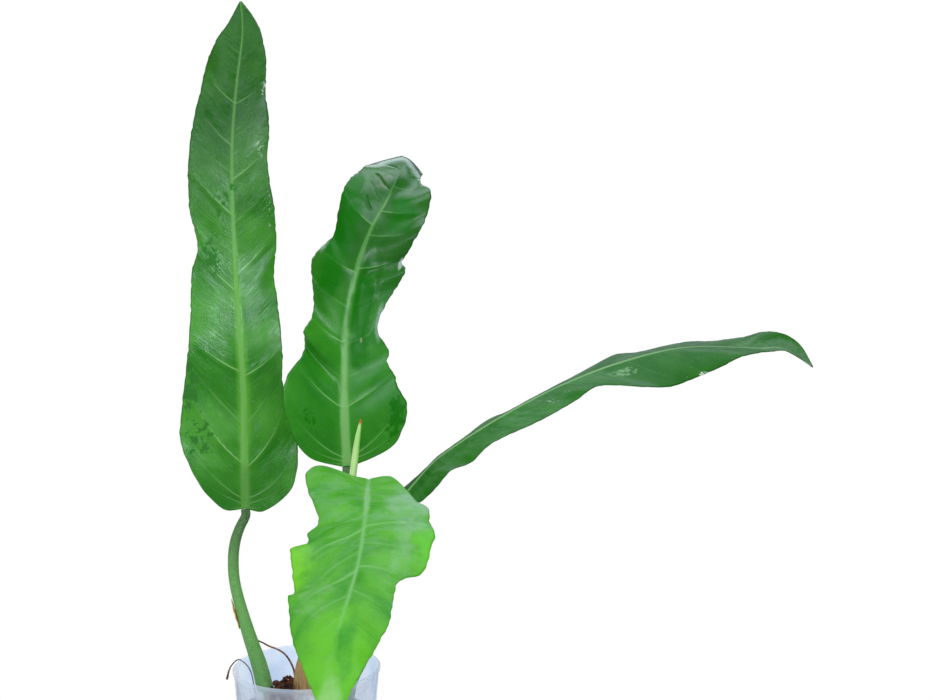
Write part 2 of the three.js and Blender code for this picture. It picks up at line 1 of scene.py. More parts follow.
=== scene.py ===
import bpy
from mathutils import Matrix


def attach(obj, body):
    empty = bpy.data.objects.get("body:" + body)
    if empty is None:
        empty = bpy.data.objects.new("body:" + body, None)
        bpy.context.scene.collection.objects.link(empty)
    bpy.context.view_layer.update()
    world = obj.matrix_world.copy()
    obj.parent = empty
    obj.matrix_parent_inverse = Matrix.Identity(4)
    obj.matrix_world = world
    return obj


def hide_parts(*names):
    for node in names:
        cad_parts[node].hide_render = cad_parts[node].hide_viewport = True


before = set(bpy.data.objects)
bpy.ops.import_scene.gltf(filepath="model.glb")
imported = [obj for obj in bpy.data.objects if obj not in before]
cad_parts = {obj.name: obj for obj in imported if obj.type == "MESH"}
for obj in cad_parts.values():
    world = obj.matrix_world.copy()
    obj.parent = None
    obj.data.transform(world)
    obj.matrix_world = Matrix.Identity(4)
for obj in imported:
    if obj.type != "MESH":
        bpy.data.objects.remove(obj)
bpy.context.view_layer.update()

# Looks of a potted philodendron longilaminatum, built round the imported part. Metres, +Z up. The
# photograph's viewer stands on the -Y side.

import math

import bmesh
import bpy
import numpy as np


# The nursery pot
# Blown from frosted polypropylene in one thin wall with a narrow lip, bluish white and cloudy,
# so that the wet bark mix shows through as smoky patches. Six drainage holes in the floor.

MM = 0.001


def place(tree, kind, values=(), **settings):
    """A node with its settings, its sockets filled with values or with other nodes' sockets."""
    node = tree.nodes.new(kind)
    for key, value in settings.items():
        setattr(node, key, value)
    for socket, value in dict(values).items():
        target = node.inputs[socket]
        if isinstance(value, bpy.types.NodeSocket):
            tree.links.new(value, target)
        else:
            target.default_value = value
    return node


def calc(tree, operation, first, second=0.0, third=0.0):
    return place(tree, "ShaderNodeMath", {0: first, 1: second, 2: third}, operation=operation).outputs[0]


def product(tree, result, *factors):
    for factor in factors:
        result = calc(tree, "MULTIPLY", result, factor)
    return result


def total(tree, result, *terms):
    for term in terms:
        result = calc(tree, "ADD", result, term)
    return result


def minus(tree, whole, part):
    return calc(tree, "SUBTRACT", whole, part)


def fade(tree, value, low, high, start=0.0, end=1.0):
    """A soft step from start to end, as value goes from low to high."""
    return place(tree, "ShaderNodeMapRange", {"Value": value, 1: low, 2: high, 3: start, 4: end},
                 interpolation_type="SMOOTHSTEP").outputs[0]


def mixed(tree, amount, first, second):
    """The first colour, turning into the second as amount grows."""
    first, second = ((*colour, 1) if isinstance(colour, tuple) else colour for colour in (first, second))
    return place(tree, "ShaderNodeMix", {0: amount, 6: first, 7: second}, data_type="RGBA").outputs[2]


def layered(tree, colour, *layers):
    """The colour with others laid over it, each as (amount, colour)."""
    for amount, tone in layers:
        colour = mixed(tree, amount, colour, tone)
    return colour


def noise(tree, vector, scale, detail=2.0, roughness=0.5, distortion=0.0):
    return place(tree, "ShaderNodeTexNoise", {
        "Vector": vector, "Scale": scale, "Detail": detail,
        "Roughness": roughness, "Distortion": distortion,
    }).outputs["Fac"]


def object_point(tree):
    return tree.nodes.new("ShaderNodeTexCoord").outputs["Object"]


def stretched(tree, vector, scale, turn=(0, 0, 0)):
    """The vector turned and scaled, so that a pattern on it is drawn out."""
    return place(tree, "ShaderNodeMapping", {"Vector": vector, "Scale": scale, "Rotation": turn}).outputs[0]


def split(tree, vector):
    return place(tree, "ShaderNodeSeparateXYZ", {0: vector}).outputs


def distance_of(tree, x, y):
    return calc(tree, "SQRT", total(tree, product(tree, x, x), product(tree, y, y)))


def new_material(name, **constants):
    """A material with its constants set on the shader's own sockets."""
    material = bpy.data.materials.new(name)
    material.use_nodes = True
    shader = material.node_tree.nodes["Principled BSDF"]
    for socket, value in constants.items():
        shader.inputs[socket.replace("_", " ")].default_value = value
    return material, material.node_tree, shader


def dress(tree, shader, colour, roughness, height, depth):
    """Joins colour, roughness and a relief of the given depth to the shader."""
    bump = place(tree, "ShaderNodeBump", {"Height": height, "Distance": depth, "Strength": 1.0})
    for value, socket in ((colour, "Base Color"), (roughness, "Roughness"), (bump.outputs[0], "Normal")):
        tree.links.new(value, shader.inputs[socket])


def add_object(name, data):
    thing = bpy.data.objects.new(name, data)
    bpy.context.scene.collection.objects.link(thing)
    return thing


def finish_piece(piece, slot, *nodes, finish=None):
    """The piece in its finish, on the plant's one body, in the place of the nodes named."""
    if finish:
        piece.data.materials.clear()
        piece.data.materials.append(finish)
    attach(piece, "root")
    if nodes:
        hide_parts(*nodes)


def smooth(mesh):
    mesh.polygons.foreach_set("use_smooth", [True] * len(mesh.polygons))


def plain_copy(piece, name):
    """The piece with its modifiers worked out, as a plain mesh at the origin."""
    shape = piece.evaluated_get(bpy.context.evaluated_depsgraph_get())
    mesh = bpy.data.meshes.new_from_object(shape)
    mesh.name = name
    bpy.data.objects.remove(piece)
    return add_object(name, mesh)


pot_section = [
    (0, 0), (39.6, 0), (40.5, 0.25), (41, 1), (48.97, 93.6), (49.4, 94.1), (49.85, 94.6),
    (50, 95.1), (50, 96.3), (49.7, 96.85), (49.1, 97), (48.5, 96.9), (48.1, 96.5), (48, 95.6),
    (48, 94), (40.2, 2.5), (39.6, 1.8), (38.8, 1.6), (0, 1.6),
]
pot_sides = 144
drain_holes = 6
drain_radius = 3.5 * MM
drain_circle = 24 * MM
drill_length = 6 * MM

pot_mesh = bpy.data.meshes.new("pot_shell")
shell = bmesh.new()
ring = [shell.verts.new((radius * MM, 0, height * MM)) for radius, height in pot_section]
edges = [shell.edges.new(pair) for pair in zip(ring, ring[1:])]
bmesh.ops.spin(shell, geom=ring + edges, cent=(0, 0, 0), axis=(0, 0, 1), angle=2 * math.pi,
               steps=pot_sides, use_merge=True)
bmesh.ops.remove_doubles(shell, verts=shell.verts, dist=1e-6)
bmesh.ops.recalc_face_normals(shell, faces=shell.faces)
shell.to_mesh(pot_mesh)
shell.free()
pot_shell = add_object("pot_shell", pot_mesh)

drill_mesh = bpy.data.meshes.new("drills")
drills = bmesh.new()
for hole in range(drain_holes):
    turn = 2 * math.pi * hole / drain_holes
    made = bmesh.ops.create_cone(drills, cap_ends=True, segments=24, radius1=drain_radius,
                                 radius2=drain_radius, depth=drill_length)
    bmesh.ops.translate(drills, verts=made["verts"],
                        vec=(drain_circle * math.cos(turn), drain_circle * math.sin(turn), 0))
drills.to_mesh(drill_mesh)
drills.free()
drill_block = add_object("drills", drill_mesh)
cut = pot_shell.modifiers.new("holes", "BOOLEAN")
cut.operation = "DIFFERENCE"
cut.object = drill_block
cut.solver = "EXACT"
pot = plain_copy(pot_shell, "nursery_pot")
bpy.data.objects.remove(drill_block)

# The cut leaves points and faces in a chance order, so they are sorted
corners = [tuple(vertex.co) for vertex in pot.data.vertices]
order = sorted(range(len(corners)), key=corners.__getitem__)
rank = {old: new for new, old in enumerate(order)}
faces = []
for face in pot.data.polygons:
    ids = [rank[corner] for corner in face.vertices]
    lowest = ids.index(min(ids))
    faces.append(ids[lowest:] + ids[:lowest])
pot.data.clear_geometry()
pot.data.from_pydata(sorted(corners), [], sorted(faces))
smooth(pot.data)

# Above the mix the wall is evenly frosted, and its far side glows with a painted backlight, standing in for
# light shining through it from behind
wall_foot = 40.9 * MM
wall_slope = 0.0861
frost_line = (91.5 * MM, 95.5 * MM)
far_frost_line = (55 * MM, 60 * MM)
pot_finish, tree, shader = new_material("frosted plastic", IOR=1.49, Specular_IOR_Level=0.5,
                                        Emission_Strength=0.5)
where = object_point(tree)
x, y, height = split(tree, where)
clouds = noise(tree, stretched(tree, where, (1, 1, 0.55)), 55, 2, 0.5, 0.4)
patches = noise(tree, where, 150, 4, 0.65)
smoky = total(tree, product(tree, clouds, 0.75), product(tree, patches, 0.25))
outer_wall = calc(tree, "MULTIPLY_ADD", height, wall_slope, wall_foot)
inner_wall = fade(tree, minus(tree, distance_of(tree, x, y), outer_wall), -0.3 * MM, -0.7 * MM)
far_wall = product(tree, inner_wall, fade(tree, y, -8 * MM, 12 * MM))
above_mix = calc(tree, "MAXIMUM", fade(tree, height, *frost_line),
                 product(tree, far_wall, fade(tree, height, *far_frost_line)))
see_through = fade(tree, smoky, 0.36, 0.64, 0.3, 0.78)
opacity = total(tree, product(tree, see_through, minus(tree, 1, above_mix)), product(tree, above_mix, 0.5))
near_inside = minus(tree, inner_wall, far_wall)
opacity = product(tree, opacity, minus(tree, 1, product(tree, near_inside, 0.75)))
tree.links.new(opacity, shader.inputs["Alpha"])
# Painted backlight: the far wall above the mix glows bluish white, as if lit through from behind
painted_backlight_glow = mixed(tree, product(tree, above_mix, far_wall), (0, 0, 0), (0.55, 0.73, 1))
tree.links.new(painted_backlight_glow, shader.inputs["Emission Color"])
tint = mixed(tree, fade(tree, patches, 0.35, 0.65), (0.64, 0.76, 1), (0.77, 0.87, 1))
dress(tree, shader, tint, fade(tree, patches, 0.3, 0.7, 0.32, 0.5), noise(tree, where, 900, 2), 0.05 * MM)
finish_piece(pot, "frosted_plastic", "pot", finish=pot_finish)


# The bark mix
# Coarse composted bark, wet and nearly black, heaped up round the stem and pressed against the
# wall. Broken chips lie loose on top, redder where they are split open.

def remade(node, name, grain, softness, rounds):
    """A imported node's form as a plain mesh, laid anew in an even net and softened."""
    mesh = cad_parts[node].data.copy()
    shape = bmesh.new()
    shape.from_mesh(mesh)
    bmesh.ops.remove_doubles(shape, verts=shape.verts, dist=1e-6)
    shape.to_mesh(mesh)
    shape.free()
    draft = add_object(name + "_draft", mesh)
    net = draft.modifiers.new("net", "REMESH")
    net.mode = "VOXEL"
    net.voxel_size = grain
    soften = draft.modifiers.new("soften", "SMOOTH")
    soften.factor = softness
    soften.iterations = rounds
    return plain_copy(draft, name)


def vectors_of(vertices, key):
    values = np.empty(len(vertices) * 3)
    vertices.foreach_get(key, values)
    return values.reshape(-1, 3)


crumb_grain = 1.3 * MM
heap_from = 55 * MM
wall_to = 60 * MM
mix = remade("soil", "bark_mix", crumb_grain, 0.5, 2)

# Crumbs stand up from the open top only, and the sides shrink a little inside the wall
crumbs = np.random.default_rng(7)
corners = vectors_of(mix.data.vertices, "co")
facing = vectors_of(mix.data.vertices, "normal")
open_top = (facing[:, 2] > 0.2) & (corners[:, 2] > heap_from)
rise = crumbs.uniform(-0.5, 0.55, len(corners)) * MM
corners[open_top] += facing[open_top] * rise[open_top, None]
side = (np.abs(facing[:, 2]) < 0.3) & (corners[:, 2] < wall_to)
corners[side] -= facing[side] * crumbs.uniform(0.1, 0.7, len(corners))[side, None] * MM
mix.data.vertices.foreach_set("co", corners.ravel())
smooth(mix.data)

bark_finish, tree, shader = new_material("wet bark", Specular_IOR_Level=0.35)
where = object_point(tree)
lumps = noise(tree, where, 130, 4, 0.6)
fibres = noise(tree, stretched(tree, where, (1, 1, 4), (0.6, 0.4, 0)), 420, 3, 0.7)
brown = layered(tree, (0.03, 0.012, 0.008), (fade(tree, lumps, 0.4, 0.68), (0.15, 0.055, 0.03)),
                (fade(tree, fibres, 0.5, 0.75, 0, 0.55), (0.24, 0.1, 0.055)))
dress(tree, shader, brown, fade(tree, fibres, 0.3, 0.7, 0.6, 0.92), total(tree, fibres, lumps), 0.5 * MM)
finish_piece(mix, "bark_mix", "soil", finish=bark_finish)


def add_input(tree, name, kind):
    return tree.interface.new_socket(name=name, in_out="INPUT", socket_type="NodeSocket" + kind)


def shape_tree(name, **inputs):
    """A geometry tree and its inputs' sockets: its shape, and those named with their kinds."""
    tree = bpy.data.node_groups.new(name, "GeometryNodeTree")
    add_input(tree, "Shape", "Geometry")
    for key, kind in inputs.items():
        add_input(tree, key.replace("_", " ").capitalize(), kind)
    tree.interface.new_socket(name="Shape", in_out="OUTPUT", socket_type="NodeSocketGeometry")
    return tree, tree.nodes.new("NodeGroupInput").outputs


def end_tree(tree, shape, finish):
    """Ends a geometry tree with a real, painted mesh."""
    shape = place(tree, "GeometryNodeRealizeInstances", {0: shape}).outputs[0]
    shape = place(tree, "GeometryNodeSetMaterial", {0: shape, "Material": finish}).outputs[0]
    place(tree, "NodeGroupOutput", {0: shape})


def grown(piece, tree, name, **inputs):
    """The piece with the tree's work done, each input set by its socket's identifier."""
    work = piece.modifiers.new(tree.name, "NODES")
    work.node_group = tree
    for socket in tree.interface.items_tree:
        key = socket.name.replace(" ", "_").lower()
        if socket.in_out == "INPUT" and key in inputs:
            work[socket.identifier] = inputs[key]
    return plain_copy(piece, name)


def vector_of(tree, x, y, z):
    return place(tree, "ShaderNodeCombineXYZ", {0: x, 1: y, 2: z}).outputs[0]


def scaled(tree, vector, size):
    return place(tree, "ShaderNodeVectorMath", {0: vector, "Scale": size}, operation="SCALE").outputs[0]


def face_normal(tree):
    return tree.nodes.new("GeometryNodeInputNormal").outputs[0]


# Chips lie on the faces of the heap that are nearly level
level_enough = 0.45
bed_from = 58 * MM
break_depth = 3.2 * MM
chip_tree, given = shape_tree("chips on the mix", chips_per_square_metre="Float", reach="Float",
                              longest_chip="Float", seed="Int", finish="Material")
tree = chip_tree
x, y, height = split(tree, tree.nodes.new("GeometryNodeInputPosition").outputs[0])
level = split(tree, face_normal(tree))[2]
bed = product(tree, calc(tree, "LESS_THAN", distance_of(tree, x, y), given["Reach"]),
              calc(tree, "GREATER_THAN", level, level_enough), calc(tree, "GREATER_THAN", height, bed_from))
scatter = place(tree, "GeometryNodeDistributePointsOnFaces", {
    "Mesh": given["Shape"], "Selection": bed,
    "Density": given["Chips per square metre"], "Seed": given["Seed"],
})
block = place(tree, "GeometryNodeMeshCube", {
    "Size": (1, 0.24, 0.18), "Vertices X": 5, "Vertices Y": 3, "Vertices Z": 2,
})
size = place(tree, "FunctionNodeRandomValue", {2: 0.3, 3: 1.0, "Seed": 5}, data_type="FLOAT").outputs[1]
tilt = place(tree, "FunctionNodeRandomValue", {0: (-0.7, -0.7, 0), 1: (0.7, 0.7, 6.28), "Seed": 9},
             data_type="FLOAT_VECTOR").outputs[0]
laid = place(tree, "GeometryNodeInstanceOnPoints", {
    "Points": scatter.outputs["Points"], "Instance": block.outputs[0], "Rotation": tilt,
    "Scale": product(tree, size, given["Longest chip"]),
}).outputs[0]
loose = place(tree, "GeometryNodeRealizeInstances", {0: laid}).outputs[0]
rough = place(tree, "ShaderNodeTexNoise", {"Scale": 260.0, "Detail": 2.0}).outputs["Color"]
jag = place(tree, "ShaderNodeVectorMath", {0: rough, 1: (0.5, 0.5, 0.5)}, operation="SUBTRACT").outputs[0]
broken = place(tree, "GeometryNodeSetPosition", {"Geometry": loose, "Offset": scaled(tree, jag, break_depth)})
end_tree(tree, broken.outputs[0], given["Finish"])

chip_finish, tree, shader = new_material("split bark", Specular_IOR_Level=0.18)
where = object_point(tree)
lumps = noise(tree, where, 90, 2)
grain = noise(tree, stretched(tree, where, (1, 5, 1), (0.3, 0.2, 0.9)), 360, 3, 0.7)
brown = layered(tree, (0.02, 0.006, 0.004), (fade(tree, lumps, 0.35, 0.7), (0.14, 0.032, 0.017)),
                (fade(tree, grain, 0.52, 0.72, 0, 0.7), (0.42, 0.14, 0.075)))
dress(tree, shader, brown, fade(tree, grain, 0.3, 0.7, 0.55, 0.9), grain, 0.4 * MM)
chips = grown(add_object("chip_bed", mix.data.copy()), chip_tree, "bark_chips", reach=0.0385, seed=3,
              chips_per_square_metre=60000.0, longest_chip=0.012, finish=chip_finish)
finish_piece(chips, "bark_mix")


# The stem
# A short creeping rhizome under the mix with one stout crown and its anchoring roots. Green and
# corky, ringed with the scars of fallen leaves.

stem_grain = 1.1 * MM
stem = remade("stem", "creeping_stem", stem_grain, 0.6, 4)
smooth(stem.data)
stem_finish, tree, shader = new_material("corky stem", Specular_IOR_Level=0.4)
where = object_point(tree)
waver = product(tree, noise(tree, where, 60, 2), 6 * MM)
rings = calc(tree, "SINE", product(tree, total(tree, split(tree, where)[2], waver), 1500))
cork = noise(tree, where, 300, 4, 0.6)
skin = layered(tree, (0.12, 0.2, 0.05), (fade(tree, cork, 0.4, 0.65), (0.2, 0.15, 0.07)),
               (fade(tree, rings, 0.6, 1, 0, 0.7), (0.3, 0.22, 0.12)))
dress(tree, shader, skin, fade(tree, cork, 0.3, 0.7, 0.5, 0.8), total(tree, cork, rings), 0.3 * MM)
finish_piece(stem, "woody_stem", "stem", finish=stem_finish)


# Leaf stalks
# Round and fleshy, stiff enough to hold a long blade, each widening to the foot that it grew
# from. Mid green under fine pale specks.

def smooth_line(points, places):
    """Points of the smooth line through the given ones; a place counts them from 0."""
    line = np.array(points, float)
    line = np.vstack([2 * line[0] - line[1], line, 2 * line[-1] - line[-2]])
    places = np.clip(np.asarray(places, float), 0, len(points) - 1)
    first = np.minimum(places.astype(int), len(points) - 2)
    part = (places - first)[..., None]
    before, start, end, after = (line[first + step] for step in range(4))
    return 0.5 * (2 * start + (end - before) * part
                  + (2 * before - 5 * start + 4 * end - after) * part ** 2
                  + (3 * start - before - 3 * end + after) * part ** 3)


def even_places(points, count):
    """The places that cut the smooth line through the points into even lengths."""
    fine = np.linspace(0, len(points) - 1, 60 * len(points))
    steps = np.linalg.norm(np.diff(smooth_line(points, fine), axis=0), axis=1)
    run = np.concatenate([[0], np.cumsum(steps)])
    return np.interp(np.linspace(0, run[-1], count), run, fine), run[-1]


stalk_tree, given = shape_tree("stalk along its path", sides="Int", unevenness="Float",
                               lump_size="Float", finish="Material")
tree = stalk_tree
path = place(tree, "GeometryNodeMeshToCurve", {0: given["Shape"]}).outputs[0]
thick = place(tree, "GeometryNodeInputNamedAttribute", {"Name": "thick"}, data_type="FLOAT").outputs[0]
ring = place(tree, "GeometryNodeCurvePrimitiveCircle", {"Resolution": given["Sides"], "Radius": 1.0})
circle = place(tree, "GeometryNodeStoreNamedAttribute", {
    0: ring.outputs[0], "Name": "around",
    "Value": tree.nodes.new("GeometryNodeSplineParameter").outputs["Factor"],
}, data_type="FLOAT", domain="POINT")
tube = place(tree, "GeometryNodeCurveToMesh", {
    "Curve": path, "Profile Curve": circle.outputs[0], "Scale": thick, "Fill Caps": True,
}).outputs[0]
lumps = place(tree, "ShaderNodeTexNoise", {"Scale": given["Lump size"], "Detail": 1.0}).outputs["Fac"]
lift = product(tree, minus(tree, lumps, 0.55), given["Unevenness"])
tube = place(tree, "GeometryNodeSetPosition", {
    "Geometry": tube, "Offset": scaled(tree, face_normal(tree), lift),
}).outputs[0]
end_tree(tree, place(tree, "GeometryNodeSetShadeSmooth", {0: tube}).outputs[0], given["Finish"])


def write_marks(mesh, **marks):
    """Keeps numbers with the mesh's points, for its material."""
    for key, values in marks.items():
        mesh.attributes.new(key, "FLOAT", "POINT").data.foreach_set("value", values)


def attribute(tree, name):
    return place(tree, "ShaderNodeAttribute", attribute_name=name).outputs["Fac"]


def stalk(name, path, radii, finish, points=140, sides=28, unevenness=0.2, lump_size=90.0):
    """A solid stalk along a path, in millimetres, its radius changing from foot to end."""
    places, length = even_places(path, points)
    line = smooth_line(path, places) * MM
    share = np.linspace(0, 1, points)
    thickness = smooth_line([[radius] for radius in radii], share * (len(radii) - 1))[:, 0] * MM
    mesh = bpy.data.meshes.new(name)
    mesh.from_pydata(line.tolist(), [(k, k + 1) for k in range(points - 1)], [])
    write_marks(mesh, thick=thickness, along=share * length)
    return grown(add_object(name + "_path", mesh), stalk_tree, name, sides=sides,
                 unevenness=unevenness * MM, lump_size=lump_size, finish=finish)


def stalk_material(name, foot, middle, top, length):
    """Skin of a leaf stalk, its colour changing from foot to top, with fine pale specks."""
    material, tree, shader = new_material(name, Specular_IOR_Level=0.5)
    along = attribute(tree, "along")
    where = object_point(tree)
    stripes = noise(tree, vector_of(tree, product(tree, attribute(tree, "around"), 60),
                                    product(tree, along, 0.05), 0.0), 1.0, 2)
    specks = noise(tree, where, 1300, 2, 0.6)
    flecks = product(tree, fade(tree, noise(tree, where, 380, 2, 0.6), 0.6, 0.68),
                     fade(tree, along, 0.6 * length, 0.2 * length), 0.55)
    dark = noise(tree, where, 480, 2, 0.5)
    skin = layered(tree, foot, (fade(tree, along, 0, 0.35 * length), middle),
                   (fade(tree, along, 0.62 * length, 0.97 * length), top),
                   (fade(tree, stripes, 0.35, 0.7, 0.0, 0.35), (0.2, 0.42, 0.14)),
                   (fade(tree, specks, 0.42, 0.7, 0.0, 0.4), (0.28, 0.56, 0.23)),
                   (flecks, (0.42, 0.66, 0.36)),
                   (fade(tree, dark, 0.6, 0.72, 0.0, 0.45), (0.04, 0.15, 0.03)))
    rough = fade(tree, stripes, 0.3, 0.7, 0.36, 0.5)
    dress(tree, shader, skin, rough, total(tree, stripes, specks), 0.12 * MM)
    return material


# Leaf blades
# Long leathery straps with a stout pale midrib raised underneath, side veins swept towards the
# tip, and margins that ripple. The surface puffs up a little between the veins.

blade_thickness = 0.5
thinnest_rib = 0.3
vein_arch = 0.25
vein_ridge = 1.1
welt_width = 2.6
slit_width = 0.75
margin_ripple = 0.1575
rib_columns = 4
side_columns = 26


def bender(midrib, face):
    """Puts points of the flat blade (along, across, height, in mm) on the bent one."""
    fine = np.linspace(0, len(midrib) - 1, 900)
    line = smooth_line(midrib, fine)
    run = np.concatenate([[0], np.cumsum(np.linalg.norm(np.diff(line, axis=0), axis=1))])
    length = run[-1]

    def bend(along, across, height):
        inside = np.clip(along, 0, length)
        at = np.interp(inside, run, fine)
        centre = smooth_line(midrib, at)
        ahead = smooth_line(midrib, at + 1e-3) - smooth_line(midrib, at - 1e-3)
        ahead /= np.linalg.norm(ahead, axis=-1, keepdims=True)
        up = smooth_line(face, inside / length * (len(face) - 1))
        up -= (up * ahead).sum(-1, keepdims=True) * ahead
        up /= np.linalg.norm(up, axis=-1, keepdims=True)
        past_end = (along - inside)[..., None] * ahead
        return centre + past_end + across[..., None] * np.cross(ahead, up) + height[..., None] * up

    return bend


def vein_numbers(rows_at, share, veins):
    """The number of the side vein at each point, whole on a vein, and how much of each vein's
    strength and lift reaches there. Each vein is (row that it starts at on the midrib, row that
    it ends at on the margin, strength, lift in mm where the blade is folded along it)."""
    starts, ends, strengths, lifts = (np.array(column, float) for column in zip(*veins))
    more = 1.6 * np.array([2, 1])
    starts = np.concatenate([starts[0] - more, starts, starts[-1] + more[::-1]])
    ends = np.concatenate([ends[0] - more, ends, ends[-1] + more[::-1]])
    numbers = np.arange(len(starts), dtype=float)
    found = np.empty_like(rows_at)
    for column in range(rows_at.shape[1]):
        lean = share[:, column].mean() ** 0.9
        found[:, column] = np.interp(rows_at[:, column], starts + (ends - starts) * lean, numbers)
    return found, *(np.interp(found, numbers, np.pad(values, 2)) for values in (strengths, lifts))


def spread_of(values, grid):
    """Distance over which values grow by one, in the grid's own units."""
    down, over = np.gradient(grid, axis=(0, 1))
    by_row, by_column = np.gradient(values)
    rr, rc, cc = (down * down).sum(-1), (down * over).sum(-1), (over * over).sum(-1)
    slope = cc * by_row ** 2 - 2 * rc * by_row * by_column + rr * by_column ** 2
    slope /= np.maximum(rr * cc - rc ** 2, 1e-6)
    return np.clip(1 / np.sqrt(np.maximum(slope, 1e-5)), 1.5, 60)


def sheet_normal(points):
    down, over = np.gradient(points, axis=(0, 1))
    normal = np.cross(over, down)
    return normal / np.linalg.norm(normal, axis=-1, keepdims=True)


def closed_sheet(name, top, bottom, **marks):
    """A thin solid between two grids of points, in mm, closed all round its border."""
    high, wide = top.shape[:2]
    under = high * wide
    ids = np.arange(2 * under).reshape(2, high, wide)
    quads = [np.stack([k[:-1, :-1], k[:-1, 1:], k[1:, 1:], k[1:, :-1]], -1).reshape(-1, 4) for k in ids]
    border = np.concatenate([ids[0, 0, :-1], ids[0, :-1, -1], ids[0, -1, :0:-1], ids[0, :0:-1, 0]])
    onward = np.roll(border, -1)
    rim = np.stack([border, border + under, onward + under, onward], -1)
    mesh = bpy.data.meshes.new(name)
    corners = np.concatenate([top.reshape(-1, 3), bottom.reshape(-1, 3)]) * MM
    mesh.from_pydata(corners.tolist(), [], np.concatenate([quads[0], quads[1][:, ::-1], rim]).tolist())
    write_marks(mesh, **{key: np.tile(values.ravel(), 2) for key, values in marks.items()},
                underside=np.repeat([0.0, 1.0], under))
    shape = bmesh.new()
    shape.from_mesh(mesh)
    bmesh.ops.recalc_face_normals(shape, faces=shape.faces)
    shape.to_mesh(mesh)
    shape.free()
    smooth(mesh)
    return add_object(name, mesh)


def from_spot(along, across, spot):
    """How far points are from a spot (along, across, reach along, reach across), squared and
    counted in its reach."""
    return ((along - spot[0]) / spot[2]) ** 2 + ((across - spot[1]) / spot[3]) ** 2


